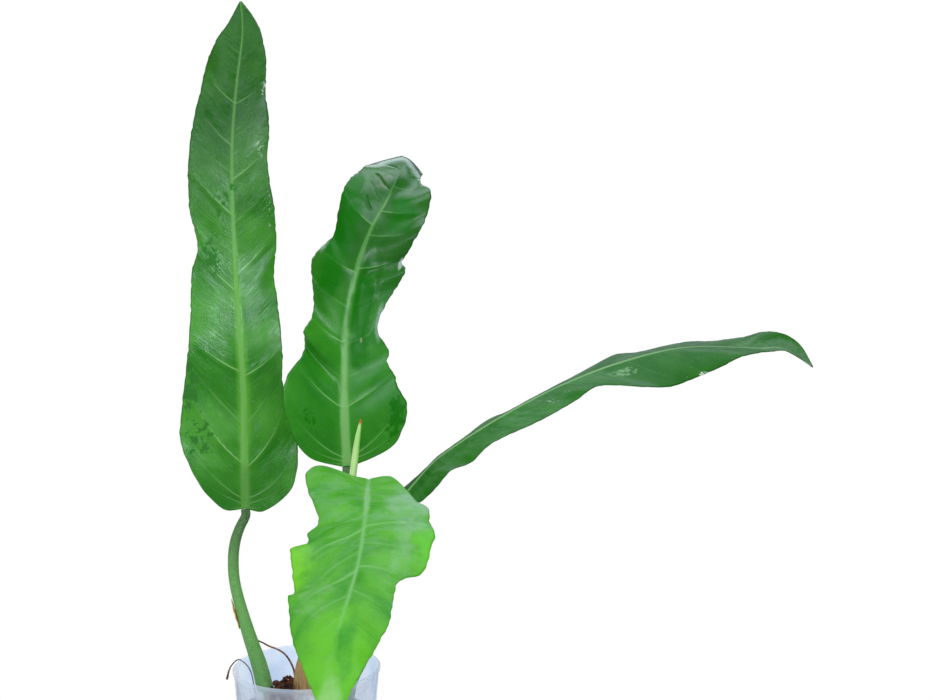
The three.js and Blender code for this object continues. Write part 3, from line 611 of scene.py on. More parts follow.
def blade(name, midrib, face, crease, rib, rows, left_veins, right_veins, band, puff=0.02,
          welts=0.6, fold=None, slits=None, rows_between=9):
    """A blade of side-vein rows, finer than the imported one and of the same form. band is the
    half width of the pale midrib at even steps along the blade, puff how high the blade swells
    between two veins for each mm between them, and welts how high it rises along them. A fold is
    (side, spot, height). Slits are narrow valleys: (side, spot, depth, mm apart, direction in
    degrees). A spot is (along, across, reach along, reach across)."""
    rows = np.array(rows, float)
    place_of = np.linspace(0, len(rows) - 1, rows_between * (len(rows) - 1) + 1)
    station = smooth_line(rows[:, :1], place_of)[:, 0]
    done = station / rows[-1, 0]
    slimming = 1 - done
    rib_half = thinnest_rib + rib[0] * slimming
    band_half = smooth_line([[half] for half in band], done * (len(band) - 1))[:, 0]
    parts = []

    # Each half is laid out flat, share going from 0 on the midrib to 1 on the margin
    for side, first, veins in ((-1, 1, left_veins), (1, 4, right_veins)):
        margin = smooth_line(rows[:, first:first + 3], place_of)
        reach = np.maximum(np.abs(margin[:, 1]), 0.3)
        rib_share = np.minimum(0.8, rib_half / reach)[:, None]
        inner = np.linspace(0, 1, rib_columns + 1)[1:] * rib_share
        outer = rib_share + (1 - rib_share) * np.linspace(0, 1, side_columns + 1)[1:] ** 0.9
        share = np.hstack([inner, outer])
        along = station[:, None] + (margin[:, :1] - station[:, None]) * share
        along -= vein_arch * share * (1 - share) * reach[:, None]
        uneven = np.sin(station * 0.71 + side) + np.sin(station * 1.13 + 2 * side) + np.sin(station * 0.29)
        uneven *= side * margin_ripple * np.clip(6 * slimming, 0, 1)
        across = (margin[:, 1:2] + uneven[:, None] * share ** 4) * share
        height = margin[:, 2:3] * (crease * share + (1 - crease) * share ** 2)
        rows_at = np.repeat(place_of[:, None], share.shape[1], axis=1)
        number, strength, lift = vein_numbers(rows_at, share, veins)
        apart = spread_of(number, np.stack([along, across, 0 * along], -1))
        inside = np.clip(4.5 * share * (1 - share), 0, 1) * np.clip(4 * slimming, 0, 1)[:, None]
        welt = strength * np.exp(-(np.abs(number - np.round(number)) * apart / welt_width) ** 2)
        welt *= np.clip(station / 60, 0.25, 1)[:, None]
        height = height + (puff * apart * np.sin(np.pi * (number % 1)) ** 2 + lift + welts * welt) * inside
        if fold and fold[0] == side:
            swell = np.clip(1.3 - from_spot(along, across, fold[1]), 0, 1) ** 1.5
            height += fold[2] * swell * np.clip(6 * share, 0, 1)
        slit = 0 * share
        if slits and slits[0] == side:
            _, spot, depth, spacing, turned = slits
            turned = math.radians(turned)
            phase = (along - spot[0]) * math.cos(turned) + (across - spot[1]) * math.sin(turned)
            phase = phase / spacing + 0.06 * np.sin(0.5 * across)
            slit = 0.65 + 0.35 * np.cos(math.pi * np.round(phase))
            slit *= np.exp(-((phase - np.round(phase)) * spacing / slit_width) ** 2)
            slit *= np.clip(3 * (1.2 - from_spot(along, across, spot)), 0, 1) * np.clip(9 * share - 0.5, 0, 1)
            height -= depth * slit
        parts.append(dict(along=along, across=across, height=height, number=number, strength=strength,
                          edge=reach[:, None] * (1 - share), share=share, slit=slit))

    # The halves are joined at the midrib and bent
    left, right = parts
    middle = {key: 0 * station for key in right}
    middle.update(along=station, number=right["number"][:, 0], edge=np.abs(right["across"][:, -1]))
    grid = {key: np.hstack([left[key][:, ::-1], middle[key][:, None], right[key]]) for key in middle}
    bend = bender(midrib, face)
    points = bend(grid["along"], grid["across"], grid.pop("height"))
    halves = slice(0, rib_columns + side_columns), slice(rib_columns + side_columns, None)
    grid["gap"] = np.hstack([spread_of(grid["number"][:, half], points[:, half]) for half in halves])
    grid["off_rib"] = np.abs(grid["across"]) / band_half[:, None]

    # The skin stands off the middle surface, more at the midrib and veins, most of all underneath
    normal = sheet_normal(points)
    under_rib = np.clip(1 - (np.abs(grid["across"]) / rib_half[:, None]) ** 2, 0, 1)
    ridge = np.exp(-(grid["off_rib"] / 0.75) ** 2) - 0.4 * np.exp(-((grid["off_rib"] - 1.5) / 0.5) ** 2)
    off_vein = np.abs(grid["number"] - np.round(grid["number"])) * grid["gap"]
    vein = grid["strength"] * np.exp(-(off_vein / vein_ridge) ** 2) * np.clip(1.6 - 1.7 * grid["share"], 0, 1)
    settled = np.clip(station / 8, 0, 1)[:, None]
    upper = blade_thickness / 2 + settled * (0.13 * band_half[:, None] * ridge + 0.1 * vein)
    lower = blade_thickness / 2 + rib[1] * slimming[:, None] * np.sqrt(under_rib) + 0.4 * vein
    piece = closed_sheet(name, points + normal * upper[..., None], points - normal * lower[..., None], **grid)
    return piece, bend


def shade_group(name, inputs, outputs):
    """A shader node group and its inputs' sockets. Inputs are {name: default}, and outputs
    {name: kind}."""
    group = bpy.data.node_groups.new(name, "ShaderNodeTree")
    for label, value in inputs.items():
        add_input(group, label, "Color" if isinstance(value, tuple) else "Float").default_value = value
    for label, kind in outputs.items():
        group.interface.new_socket(name=label, in_out="OUTPUT", socket_type="NodeSocket" + kind)
    return group, group.nodes.new("NodeGroupInput").outputs


def leaf_surface_group():
    """Colour, roughness and height of a leaf from the marks that its mesh carries."""
    tree, given = shade_group("leaf surface", {
        **dict.fromkeys(("Deep", "Light", "Vein", "Midrib", "Underside"), (0.0, 0.1, 0.0, 1.0)),
        "Vein width": 0.7, "Striae": 0.5, "Patches": 0.5, "Gloss": 0.36, "Flecks": 0.1,
        "Darker from": 150.0, "Darker to": 300.0, "Darker by": 0.0, "Duller by": 0.0, "Pillows": 0.2,
        "Dark rim": 0.5, "Midrib to": 1000.0, "Bloom": 0.0, "Bloom to": 110.0,
    }, {"Color": "Color", "Roughness": "Float", "Height": "Float"})
    where = object_point(tree)
    along, across, off_rib, edge, share, number, gap, strength, slit = (attribute(tree, key) for key in (
        "along", "across", "off_rib", "edge", "share", "number", "gap", "strength", "slit"))

    def drawn_out(by_vein, by_across, by_along, *look):
        """Noise in threads that run the way of the veins."""
        return noise(tree, vector_of(tree, product(tree, number, by_vein), product(tree, across, by_across),
                                     product(tree, along, by_along)), *look)

    off_vein = product(tree, calc(tree, "ABSOLUTE", minus(tree, number, calc(tree, "ROUND", number))), gap)
    running_out = fade(tree, share, 0.95, 0.2)
    width = product(tree, given["Vein width"], total(tree, 0.55, product(tree, running_out, 0.45)))
    vein = product(tree, fade(tree, off_vein, width, product(tree, width, 0.25)), strength, running_out)
    halo = product(tree, fade(tree, off_vein, 3.5, 0.3), strength, 0.2)
    to_crest = fade(tree, minus(tree, along, given["Midrib to"]), 8.0, -18.0)
    rib = product(tree, fade(tree, off_rib, 1.45, 0.5), to_crest)
    beside_rib = product(tree, fade(tree, off_rib, 3.4, 1.0, 0.0, 0.35), to_crest)

    fine = fade(tree, drawn_out(9.0, 0.035, 0.012, 2.6, 3, 0.65), 0.4, 0.68)
    streaks = fade(tree, drawn_out(2.2, 0.05, 0.03, 1.6, 4, 0.6), 0.38, 0.66)
    clouds = fade(tree, noise(tree, where, 26, 3, 0.55, 0.3), 0.36, 0.66)
    mottle = noise(tree, where, 140, 3, 0.6)
    specks = fade(tree, noise(tree, where, 900, 0, 0.5), 0.775, 0.82)
    # Painted light: each pillow between two veins is painted lighter in its middle, as if its puffed crown
    # caught the light
    painted_pillow_shading = fade(tree, calc(tree, "SINE", product(tree, calc(tree, "FRACT", number), math.pi)), 0.25, 1.0)
    painted_pillow_shading = product(tree, painted_pillow_shading, fade(tree, share, 0.05, 0.4), given["Pillows"])
    # Bloom and painted sheen: pale streaks towards the foot of a blade, a waxy bloom painted pale also to
    # stand in for the sheen there
    bloom = product(tree, streaks, given["Bloom"],
                    fade(tree, minus(tree, along, given["Bloom to"]), 25.0, -75.0))
    dim = product(tree, fade(tree, along, given["Darker from"], given["Darker to"]), given["Darker by"])
    fainter = minus(tree, 1, product(tree, dim, 0.9))
    rim = product(tree, fade(tree, edge, 0.8, 0.1, 0.0, given["Dark rim"]), fade(tree, along, 5.0, 14.0))
    colour = layered(
        tree, given["Deep"],
        (product(tree, clouds, given["Patches"]), given["Light"]),
        (painted_pillow_shading, given["Light"]),
        (product(tree, fine, given["Striae"], 0.4), given["Light"]),
        (fade(tree, mottle, 0.5, 0.75, 0.0, 0.3), given["Deep"]),
        (calc(tree, "MAXIMUM", halo, beside_rib), given["Light"]),
        (bloom, (0.16, 0.43, 0.16)),
        (dim, (0.004, 0.05, 0.003)),
        (product(tree, vein, fainter), given["Vein"]),
        (product(tree, rib, fainter), given["Midrib"]),
        # Painted shade: the slits' narrow valleys are painted dark green, as if in shadow
        (product(tree, slit, 0.85), (0.006, 0.1, 0.004)),
        (product(tree, attribute(tree, "underside"), 0.75), given["Underside"]),
        (rim, (0.02, 0.1, 0.02)),
        (product(tree, specks, given["Flecks"]), (0.7, 0.8, 0.7)))
    rough = total(tree, given["Gloss"], fade(tree, mottle, 0.3, 0.7, -0.05, 0.06), product(tree, fine, 0.05),
                  product(tree, dim, given["Duller by"]), product(tree, slit, 0.5), product(tree, rib, 0.2))
    height = total(tree, product(tree, fine, given["Striae"]), product(tree, mottle, 0.35),
                   product(tree, vein, 0.3))
    place(tree, "NodeGroupOutput", {"Color": colour, "Roughness": rough, "Height": height})
    return tree


def mark_group():
    """Mask of blotches, or of one soft spot, on the upper side of a blade."""
    tree, given = shade_group("leaf mark", {
        "Along": 0.0, "Across": 0.0, "Reach along": 20.0, "Reach across": 8.0, "Blotch size": 260.0,
        "Threshold": 0.56, "Falloff": 0.25, "Softness": 0.06,
    }, {"Mask": "Float"})
    up, out = (calc(tree, "DIVIDE", minus(tree, attribute(tree, key), given[key.capitalize()]),
                    given["Reach " + key]) for key in ("along", "across"))
    away = distance_of(tree, up, out)
    blotches = noise(tree, object_point(tree), given["Blotch size"], 3, 0.6)
    level = total(tree, given["Threshold"], fade(tree, away, 0.3, 1.3, 0.0, given["Falloff"]))
    mask = product(tree, fade(tree, away, 1.5, 1.1), minus(tree, 1, attribute(tree, "underside")),
                   fade(tree, minus(tree, blotches, level), 0.0, given["Softness"]))
    place(tree, "NodeGroupOutput", {"Mask": mask})
    return tree


leaf_surface = leaf_surface_group()
leaf_mark = mark_group()


def marked(tree, mark):
    """Where a mark is: (along, across, reach along, reach across, blotch size, threshold), in mm,
    and for a soft one its falloff and softness too."""
    spots = place(tree, "ShaderNodeGroup", node_tree=leaf_mark)
    for socket, value in zip(spots.inputs, mark):
        socket.default_value = value
    return spots.outputs[0]


def leaf_material(name, tints, marks, mark_colour, mark_strength=0.75, mark_dullness=0.0,
                  wax=(0.0, 0.0), specular=0.5, silk=0.04, **looks):
    """A leaf's skin. The looks go to the leaf surface group. A tint is (mark, colour, strength).
    Wax is how thick the glossy film lies between the marks and on them, silk the relief in mm."""
    material, tree, shader = new_material(name, Specular_IOR_Level=specular, Coat_Roughness=looks["gloss"])
    skin = place(tree, "ShaderNodeGroup", node_tree=leaf_surface)
    for key, value in looks.items():
        socket = skin.inputs[key.replace("_", " ").capitalize()]
        socket.default_value = (*value, 1) if isinstance(value, tuple) else value
    tinted = layered(tree, skin.outputs["Color"], *(
        (product(tree, marked(tree, mark), amount), tone) for mark, tone, amount in tints))
    # The marks: water stains on the tall leaf and scuffs on the arching one, but mostly painted shade on the
    # ruffled one, and a bloom painted also as sheen on the front one's shoulder
    stains_shade_and_sheen = 0.0
    for mark in marks:
        stains_shade_and_sheen = calc(tree, "MAXIMUM", marked(tree, mark), stains_shade_and_sheen)
    colour = mixed(tree, product(tree, stains_shade_and_sheen, mark_strength), tinted, mark_colour)
    rough = total(tree, skin.outputs["Roughness"], product(tree, stains_shade_and_sheen, mark_dullness))
    if wax[0] != wax[1]:
        tree.links.new(fade(tree, stains_shade_and_sheen, 0, 1, *wax), shader.inputs["Coat Weight"])
    dress(tree, shader, colour, rough, skin.outputs["Height"], silk * MM)
    return material


def joined_path(path, bend, under=0.0, depth=0.0):
    """A stalk's path run on up to its blade, in line with the midrib or to its underside."""
    run_in = 5.0
    tip_gap = 0.3
    ends = []
    for distance in (run_in, tip_gap):
        if under:
            spot = bend(np.array([under]), np.array([0.0]), np.array([-depth - distance]))
        else:
            spot = bend(np.array([-tip_gap - distance]), np.array([0.0]), np.array([0.0]))
        ends.append(spot[0].tolist())
    return [*path, *ends]


# The tall leaf
# The oldest and longest blade, upright on the left, satin and mid green, dulled by a film of
# hard-water marks on its left half. Its stalk bows to the left and grows from the rhizome.

tall_blade, bend = blade(
    "leaf_blade_tall",
    midrib=[[-44.4, 22, 201], [-45, 24.2, 236], [-45.3, 26.8, 272], [-47, 29, 308], [-50, 33.8, 345],
            [-52.6, 38.6, 382], [-53.8, 40.2, 420], [-53.5, 41.9, 457], [-50.8, 47, 495], [-47.6, 54, 530],
            [-49.2, 58, 552.5]],
    face=[[0.15, -1, 0.1], [0.1, -1, 0.1], [0.05, -1, 0.12], [0, -1, 0.15], [-0.1, -1, 0.15],
          [-0.2, -1, 0.2]],
    crease=0.35,
    rib=(2.3, 4.2),
    rows=[
        [0, 0, -4, 0, -1, 4, 0],
        [3, 0, -14, 1, -2, 13, 1],
        [8, 11, -26, 2, 8, 28, 2],
        [13, 24, -34, 2, 21, 35.2, 2],
        [20, 39, -41, 0, 37, 36.8, 0],
        [32, 55, -44, -2, 55, 35.3, -2],
        [52, 85, -40.5, -1, 82, 27.6, 1],
        [78, 112, -36, 1.5, 110, 28.4, 2.5],
        [106, 140, -32.5, 0.5, 140, 27.5, 0],
        [132, 165, -30.5, -0.5, 162, 26, -2.5],
        [154, 184, -25, 1.5, 182, 29, -1],
        [178, 208, -30, -1, 208, 29, 1.5],
        [204, 238, -30.5, 0, 239, 25, 1],
        [232, 266, -28, 1.5, 267, 25, -2],
        [258, 290, -25.3, 0, 290, 21.3, 1],
        [282, 310, -24, -2, 312, 19, -1],
        [306, 328, -17.8, 1, 331, 14, 1],
        [330, 343, -9, 0, 346, 6.3, 0],
        [355, 355, -0.8, 0, 355, 0.8, 0],
    ],
    left_veins=[(0.6, 1.4, 0.5, 0.1), (1.1, 3.2, 0.7, -0.2), (1.6, 4.9, 0.9, 0.4), (4.9, 6.05, 1, 0.5),
                (6.2, 6.7, 0.4, -1), (7.6, 7.3, 1, 1), (8.7, 8.4, 0.2, 0.5), (9.85, 9.8, 0.8, -0.8),
                (11, 10.9, 0.25, 0), (12, 12, 0.9, 0.6), (13.1, 12.7, 0.3, -0.3), (13.75, 13.5, 0.6, 0.3),
                (15, 14.7, 0.9, 0.8), (16.5, 16.1, 0.3, 0)],
    right_veins=[(0.6, 1.6, 0.5, 0.1), (1.1, 3.1, 0.7, -0.2), (1.7, 4.2, 0.9, 0.3), (4.65, 5.75, 1, 0.5),
                 (6.2, 6.45, 0.35, -1), (7.5, 7, 1, 1), (8.6, 8.2, 0.2, 0.5), (10.35, 10.4, 0.9, -0.8),
                 (11.8, 11.5, 0.35, 0), (12.9, 12.4, 1, 0.6), (14, 13.5, 0.25, -0.3), (15, 14.3, 0.8, 0.8),
                 (16.3, 15.9, 0.3, 0)],
    band=[2.8, 2.45, 2.1, 1.85, 1.55, 1.35, 1.25, 1.15, 1, 0.8, 0.6, 0.4],
    welts=0.8,
)
tall_skin = leaf_material(
    "mature leaf", deep=(0.012, 0.195, 0.003), light=(0.075, 0.37, 0.03), vein=(0.22, 0.52, 0.15),
    midrib=(0.16, 0.46, 0.1), underside=(0.1, 0.28, 0.07), striae=0.8, patches=0.8, gloss=0.2,
    flecks=0.12, darker_from=150, darker_to=290, darker_by=0.6, duller_by=0.1, silk=0.055,
    tints=[((294, 19, 9, 3, 500, 0.5, 0.3, 0.1), (0.6, 0.75, 0.62), 0.6),
           ((250, 20, 12, 5, 420, 0.5, 0.3, 0.1), (0.5, 0.7, 0.52), 0.5),
           ((215, 25, 40, 3, 600, 0.56, 0.2, 0.1), (0.5, 0.7, 0.52), 0.5),
           ((258, 13, 60, 13, 1300, 0.55, 0.12, 0.12), (0.2, 0.45, 0.2), 0.4),
           ((70, 0, 110, 5, 40, -0.1, 0.65, 0.5), (0.13, 0.5, 0.02), 0.4),
           ((62, 40, 18, 9, 90, 0.1, 0.6, 0.4), (0.01, 0.15, 0.004), 0.6),
           ((4, 0, 42, 60, 40, 0.1, 0.6, 0.5), (0.01, 0.15, 0.004), 0.42)],
    marks=[(176, -16, 16, 14, 210, 0.47), (214, -8, 20, 9, 260, 0.52), (298, -20, 7, 6, 200, 0.48),
           (223, 1, 5, 4, 200, 0.42), (86, -37, 28, 9, 190, 0.45), (50, -30, 22, 14, 220, 0.5)],
    mark_colour=(0.012, 0.2, 0.001), mark_strength=0.95, mark_dullness=0.4)
finish_piece(tall_blade, "mature_leaf", "blade_tall", finish=tall_skin)
tall_path = joined_path(
    [[-22, 3, 57.5], [-25.5, 3, 70], [-29.5, 4, 81], [-33.4, 6, 95], [-40.8, 9, 116], [-46.9, 12, 135],
     [-51.3, 15, 152], [-52.3, 17, 167], [-51.2, 18.6, 178], [-48.3, 20.2, 187.5]], bend)
tall_radii = [5.6, 5.8, 5.7, 5.3, 4.8, 4.4, 4, 3.8, 3.75, 3.7, 3.4, 3.1]
tall_stalk = stalk("leaf_stalk_tall", tall_path, tall_radii, stalk_material(
    "tall leaf stalk", (0.15, 0.42, 0.12), (0.12, 0.4, 0.08), (0.025, 0.09, 0.02), 155))
finish_piece(tall_stalk, "leaf_stalk", "petiole_tall")


# The ruffled leaf
# Stands behind the others in the middle, dark and shiny, waisted and deeply ruffled. It is
# creased into fine folds near its top, where it bends away and over.

ruffled_blade, bend = blade(
    "leaf_blade_ruffled",
    midrib=[[28, 2, 234], [27, 1.2, 262], [26.5, 4, 290], [27.5, 8, 318], [30.5, 12, 345], [36, 16.5, 372],
            [44, 22, 394], [55, 33, 416], [62.5, 46, 433], [64, 65, 444.8], [59.5, 86, 446.3],
            [54, 108, 435.5], [51, 125, 414], [48, 135, 390]],
    face=[[0.1, -1, 0.1], [0.1, -1, 0.1], [0.05, -1, 0.2], [-0.1, -1, 0.4], [-0.1, -0.5, 1],
          [-0.1, 0.5, 1], [-0.1, 1, 0.4]],
    crease=0.5,
    rib=(2.65, 4.6),
    rows=[
        [0, 0, -4, 0, 0, 4, 0],
        [4, 6, -22, 1, 5, 18, 0],
        [9, 15, -31, 2, 13, 32, 2],
        [16, 30, -37.5, 4, 27, 40, 3],
        [26, 46, -40.5, 4, 41, 41.7, 3.5],
        [36, 60, -38.5, 3, 54, 36, 3],
        [46, 74, -28.7, 0, 62, 33.7, 2.5],
        [56, 82, -27.7, -4, 71, 28.5, 2.5],
        [66, 89, -28.5, 6, 80, 29, 2.5],
        [78, 97, -25, 1, 94, 20.5, 3],
        [90, 108, -24.5, 0, 112, 23.2, 3],
        [106, 123, -28.5, 4.5, 128, 29.5, 2.5],
        [120, 134, -30.7, 4, 142, 32.5, 3.5],
        [130, 142, -28, 0, 149, 27.5, -3],
        [141, 152, -24, -5, 159, 30, -1],
        [154, 167, -27, -2, 174, 32.5, 3],
        [168, 184, -31.5, 2, 189, 30.5, -2.5],
        [182, 200, -32, 1, 203, 26.5, -1],
        [196, 214, -31, -1, 210, 16, -5],
        [212, 228, -27.5, -1, 219, 12.5, -8],
        [230, 245, -26, -4, 238, 12, -13],
        [252, 267, -26, -6, 261, 12, -10],
        [276, 291, -21, -4, 287, 13, -5],
        [316, 325, -7, 0, 324, 7.5, 0],
        [338, 338, -0.8, 0, 338, 0.8, 0],
    ],
    left_veins=[(0.4, 1.3, 0.5, 0), (0.8, 2.6, 0.7, 0), (1.3, 3.9, 0.9, 0), (5.3, 5.65, 0.9, 0),
                (7.3, 7.2, 0.2, 0), (9.45, 9.1, 0.9, 0), (11.1, 11, 0.45, 0), (13.2, 13, 1, 0),
                (15.9, 15.9, 0.9, 0), (17.4, 17.4, 0.1, 0), (19.5, 19.5, 0.1, 0), (21, 21, 0.3, 0),
                (22.3, 22.3, 0.3, 0)],
    right_veins=[(0.4, 1.9, 0.6, 0), (0.8, 3.1, 0.9, 0), (1.2, 4.3, 0.9, 0), (5.3, 6.2, 0.8, 0),
                 (7.4, 7.6, 0.2, 0), (9.4, 9, 0.6, 0), (11.15, 11.1, 0.4, 0), (13.45, 13.15, 1, 0.25),
                 (15.4, 15, 0.7, -0.8), (16.8, 16, 1, 0.9), (18.3, 17.7, 0.6, -0.8), (19.7, 19.4, 0.2, 0.6),
                 (21, 21, 0.3, 0), (22.3, 22.3, 0.3, 0)],
    band=[3, 2.9, 2.6, 2.3, 1.9, 1.4, 0.9, 0.6, 0.6, 0.5, 0.5, 0.4],
    fold=(1, (118, 10, 36, 8), -1), slits=(-1, (202, -8.6, 25, 9), 0.9, 8.2, 45), puff=0.012,
    welts=0.25, rows_between=20,
)
ruffled_skin = leaf_material(
    "dark leaf", deep=(0.008, 0.2, 0.002), light=(0.05, 0.33, 0.016), vein=(0.17, 0.46, 0.13),
    midrib=(0.13, 0.42, 0.085), underside=(0.08, 0.24, 0.06), striae=0.3, patches=0.6, gloss=0.25,
    flecks=0.05, darker_from=70, darker_to=170, darker_by=0.6, midrib_to=200,
    tints=[((16, 0, 75, 3.2, 60, -0.1, 0.65, 0.5), (0.28, 0.6, 0.2), 0.4),
           # Painted reflection: a warm grey sheen painted on the crest
           ((206, -10, 22, 11, 220, 0.3, 0.4, 0.5), (0.22, 0.27, 0.18), 0.4),
           # Painted glints: pale highlights painted along the margins, where they turn edge-on to the light
           ((150, -27, 15, 3, 60, -0.1, 0.65, 0.5), (0.4, 0.6, 0.48), 0.55),
           ((147, 27.8, 6, 2, 60, -0.1, 0.65, 0.5), (0.6, 0.72, 0.66), 0.6),
           ((100, 21, 17, 3, 60, -0.1, 0.65, 0.5), (0.35, 0.52, 0.45), 0.5),
           ((86, 10, 2, 0.9, 60, -0.3, 0.9, 0.2), (0.85, 0.75, 0.55), 0.9)],
    # The four soft marks, from along 100 up, are painted shade: they darken the leaf where it catches none of
    # the lamps, and take away its gloss coat
    marks=[(32, 34, 22, 10, 200, 0.45), (33, -25, 10, 8, 240, 0.5), (100, 8, 42, 10, 60, -0.1, 0.65, 0.5),
           (150, -17, 50, 12, 60, 0, 0.6, 0.5), (188, -26, 24, 8, 60, 0, 0.6, 0.5),
           (182, 14, 20, 14, 60, 0.05, 0.6, 0.5)],
    mark_colour=(0.003, 0.155, 0.001), specular=0.15, wax=(0.6, 0))
finish_piece(ruffled_blade, "dark_leaf", "blade_ruffled", finish=ruffled_skin)
ruffled_stalk = stalk(
    "leaf_stalk_ruffled",
    joined_path([[15, 8, 82], [19, 9, 110], [23, 8, 150], [26.5, 6, 190], [28, 3, 215]], bend),
    [4.3, 4, 3.6, 3.4, 3.2, 3.2, 3.2],
    stalk_material("ruffled leaf stalk", (0.1, 0.3, 0.07), (0.07, 0.24, 0.05), (0.06, 0.16, 0.05), 152))
finish_piece(ruffled_stalk, "leaf_stalk", "petiole_ruffled")


# The arching leaf
# Reaches far out to the right and droops at its tip, folded along its midrib like a tent, so
# that mostly the nearer half shows from the front. Dark and shiny with pale scuffs.

arching_blade, bend = blade(
    "leaf_blade_arching",
    midrib=[[66, 12, 212], [85.5, 12, 234.3], [105.5, 14, 249], [136, 18, 267.5], [171, 24, 285],
            [208, 30, 299.5], [246, 36, 309.5], [272, 40, 312], [293, 44, 311.3], [314, 48, 310],
            [334, 51, 309], [362, 56.5, 292.5]],
    face=[[-0.7, -0.45, 0.6], [-0.5, -0.4, 0.8], [-0.4, -0.3, 1], [-0.3, -0.25, 1],
          [-0.1, -0.25, 1], [0, -0.45, 1], [0.3, -0.8, 1]],
    crease=0.75,
    rib=(2.8, 4),
    rows=[
        [0, -1.5, -4, 0, -1.5, 4, 0],
        [3, -3, -13, -3, -3, 13, 1],
        [7, 4, -25, -11.5, 4, 24, 4],
        [13, 15, -34, -19, 13, 32, 5],
        [21, 30, -38, -24, 26, 36, 6.5],
        [31, 46, -39, -24.3, 38, 37.5, 9],
        [42, 60, -39, -24, 51, 38, 5],
        [54, 74, -38.5, -21, 66, 37.5, 7],
        [68, 88, -37.5, -16, 82, 36, 4],
        [82, 102, -36, -17, 98, 34.5, 0],
        [98, 118, -35, -16, 116, 34.5, -1],
        [114, 135, -35, -14, 133, 34.5, 0],
        [130, 152, -35, -12, 149, 35, 3],
        [146, 169, -35, -9, 164, 35, -2],
        [162, 185, -35, -6, 182, 35, -9],
        [178, 201, -35, -9, 201, 34, -14],
        [196, 218, -34, -9, 220, 32, -12],
        [216, 238, -33, -8, 240, 29.5, -5],
        [236, 260, -30, -8, 258, 25, 4],
        [256, 278, -25, -4, 277, 18, 7],
        [276, 293, -18, 2.5, 293, 11, 5],
        [298, 309, -10, 4.5, 309, 5, 3],
        [325, 325, -0.8, 0, 325, 0.8, 0],
    ],
    left_veins=[(row, row + 0.2, 0.3 + 0.2 * (row % 2 > 1), 0) for row in np.arange(1.5, 21.5, 1.35)],
    right_veins=[(row, row + 0.25, 0.3 + 0.2 * (row % 2 > 1), 0) for row in np.arange(1.2, 21.5, 1.4)],
    band=[1.6, 1.6, 1.5, 1.4, 1.3, 1.1, 0.9, 0.6],
)
# The pale midrib is partly a painted highlight along the crest of the fold
arching_skin = leaf_material(
    "arching leaf", deep=(0.008, 0.14, 0.003), light=(0.036, 0.23, 0.02), vein=(0.06, 0.27, 0.045),
    midrib=(0.24, 0.46, 0.2), underside=(0.09, 0.25, 0.07), vein_width=0.5, striae=0.8, patches=0.6,
    gloss=0.34, flecks=0.12, darker_from=120, darker_to=190, darker_by=0.25, bloom=0.15, bloom_to=150,
    specular=0.13, silk=0.02,
    tints=[((229, 31, 5, 2.6, 700, 0.43, 0.35, 0.1), (0.8, 0.85, 0.8), 0.9),
           ((176, 12, 14, 7, 300, 0.4, 0.3, 0.2), (0.2, 0.42, 0.2), 0.7),
           ((70, 16, 90, 16, 160, 0.42, 0.3, 0.4), (0.2, 0.33, 0.22), 0.2),
           # Painted sheen: a grey-green haze painted near the tip
           ((300, 4, 40, 16, 110, 0.15, 0.4, 0.4), (0.17, 0.32, 0.2), 0.5)],
    marks=[(120, 18, 26, 8, 420, 0.6)], mark_colour=(0.45, 0.6, 0.45), wax=(0, 0.7))
finish_piece(arching_blade, "dark_leaf", "blade_arching", finish=arching_skin)
arching_stalk = stalk(
    "leaf_stalk_arching",
    joined_path([[28, 4, 57.5], [27, 4, 70], [29.5, 5, 85], [38, 6, 103], [47, 8, 135],
                 [53, 10, 165], [58.5, 11.5, 193]], bend),
    [4.8, 4.8, 4.6, 4.2, 3.7, 3.3, 3, 2.9, 2.8],
    stalk_material("arching leaf stalk", (0.06, 0.2, 0.045), (0.05, 0.17, 0.04), (0.04, 0.14, 0.03), 165))
finish_piece(arching_stalk, "leaf_stalk", "petiole_arching")


# The front leaf
# The youngest open blade, hanging down towards the viewer from a stalk that meets it from
# behind. Bright yellow green and still soft, with a bluish bloom on its right shoulder that is
# painted pale also to stand in for its sheen.

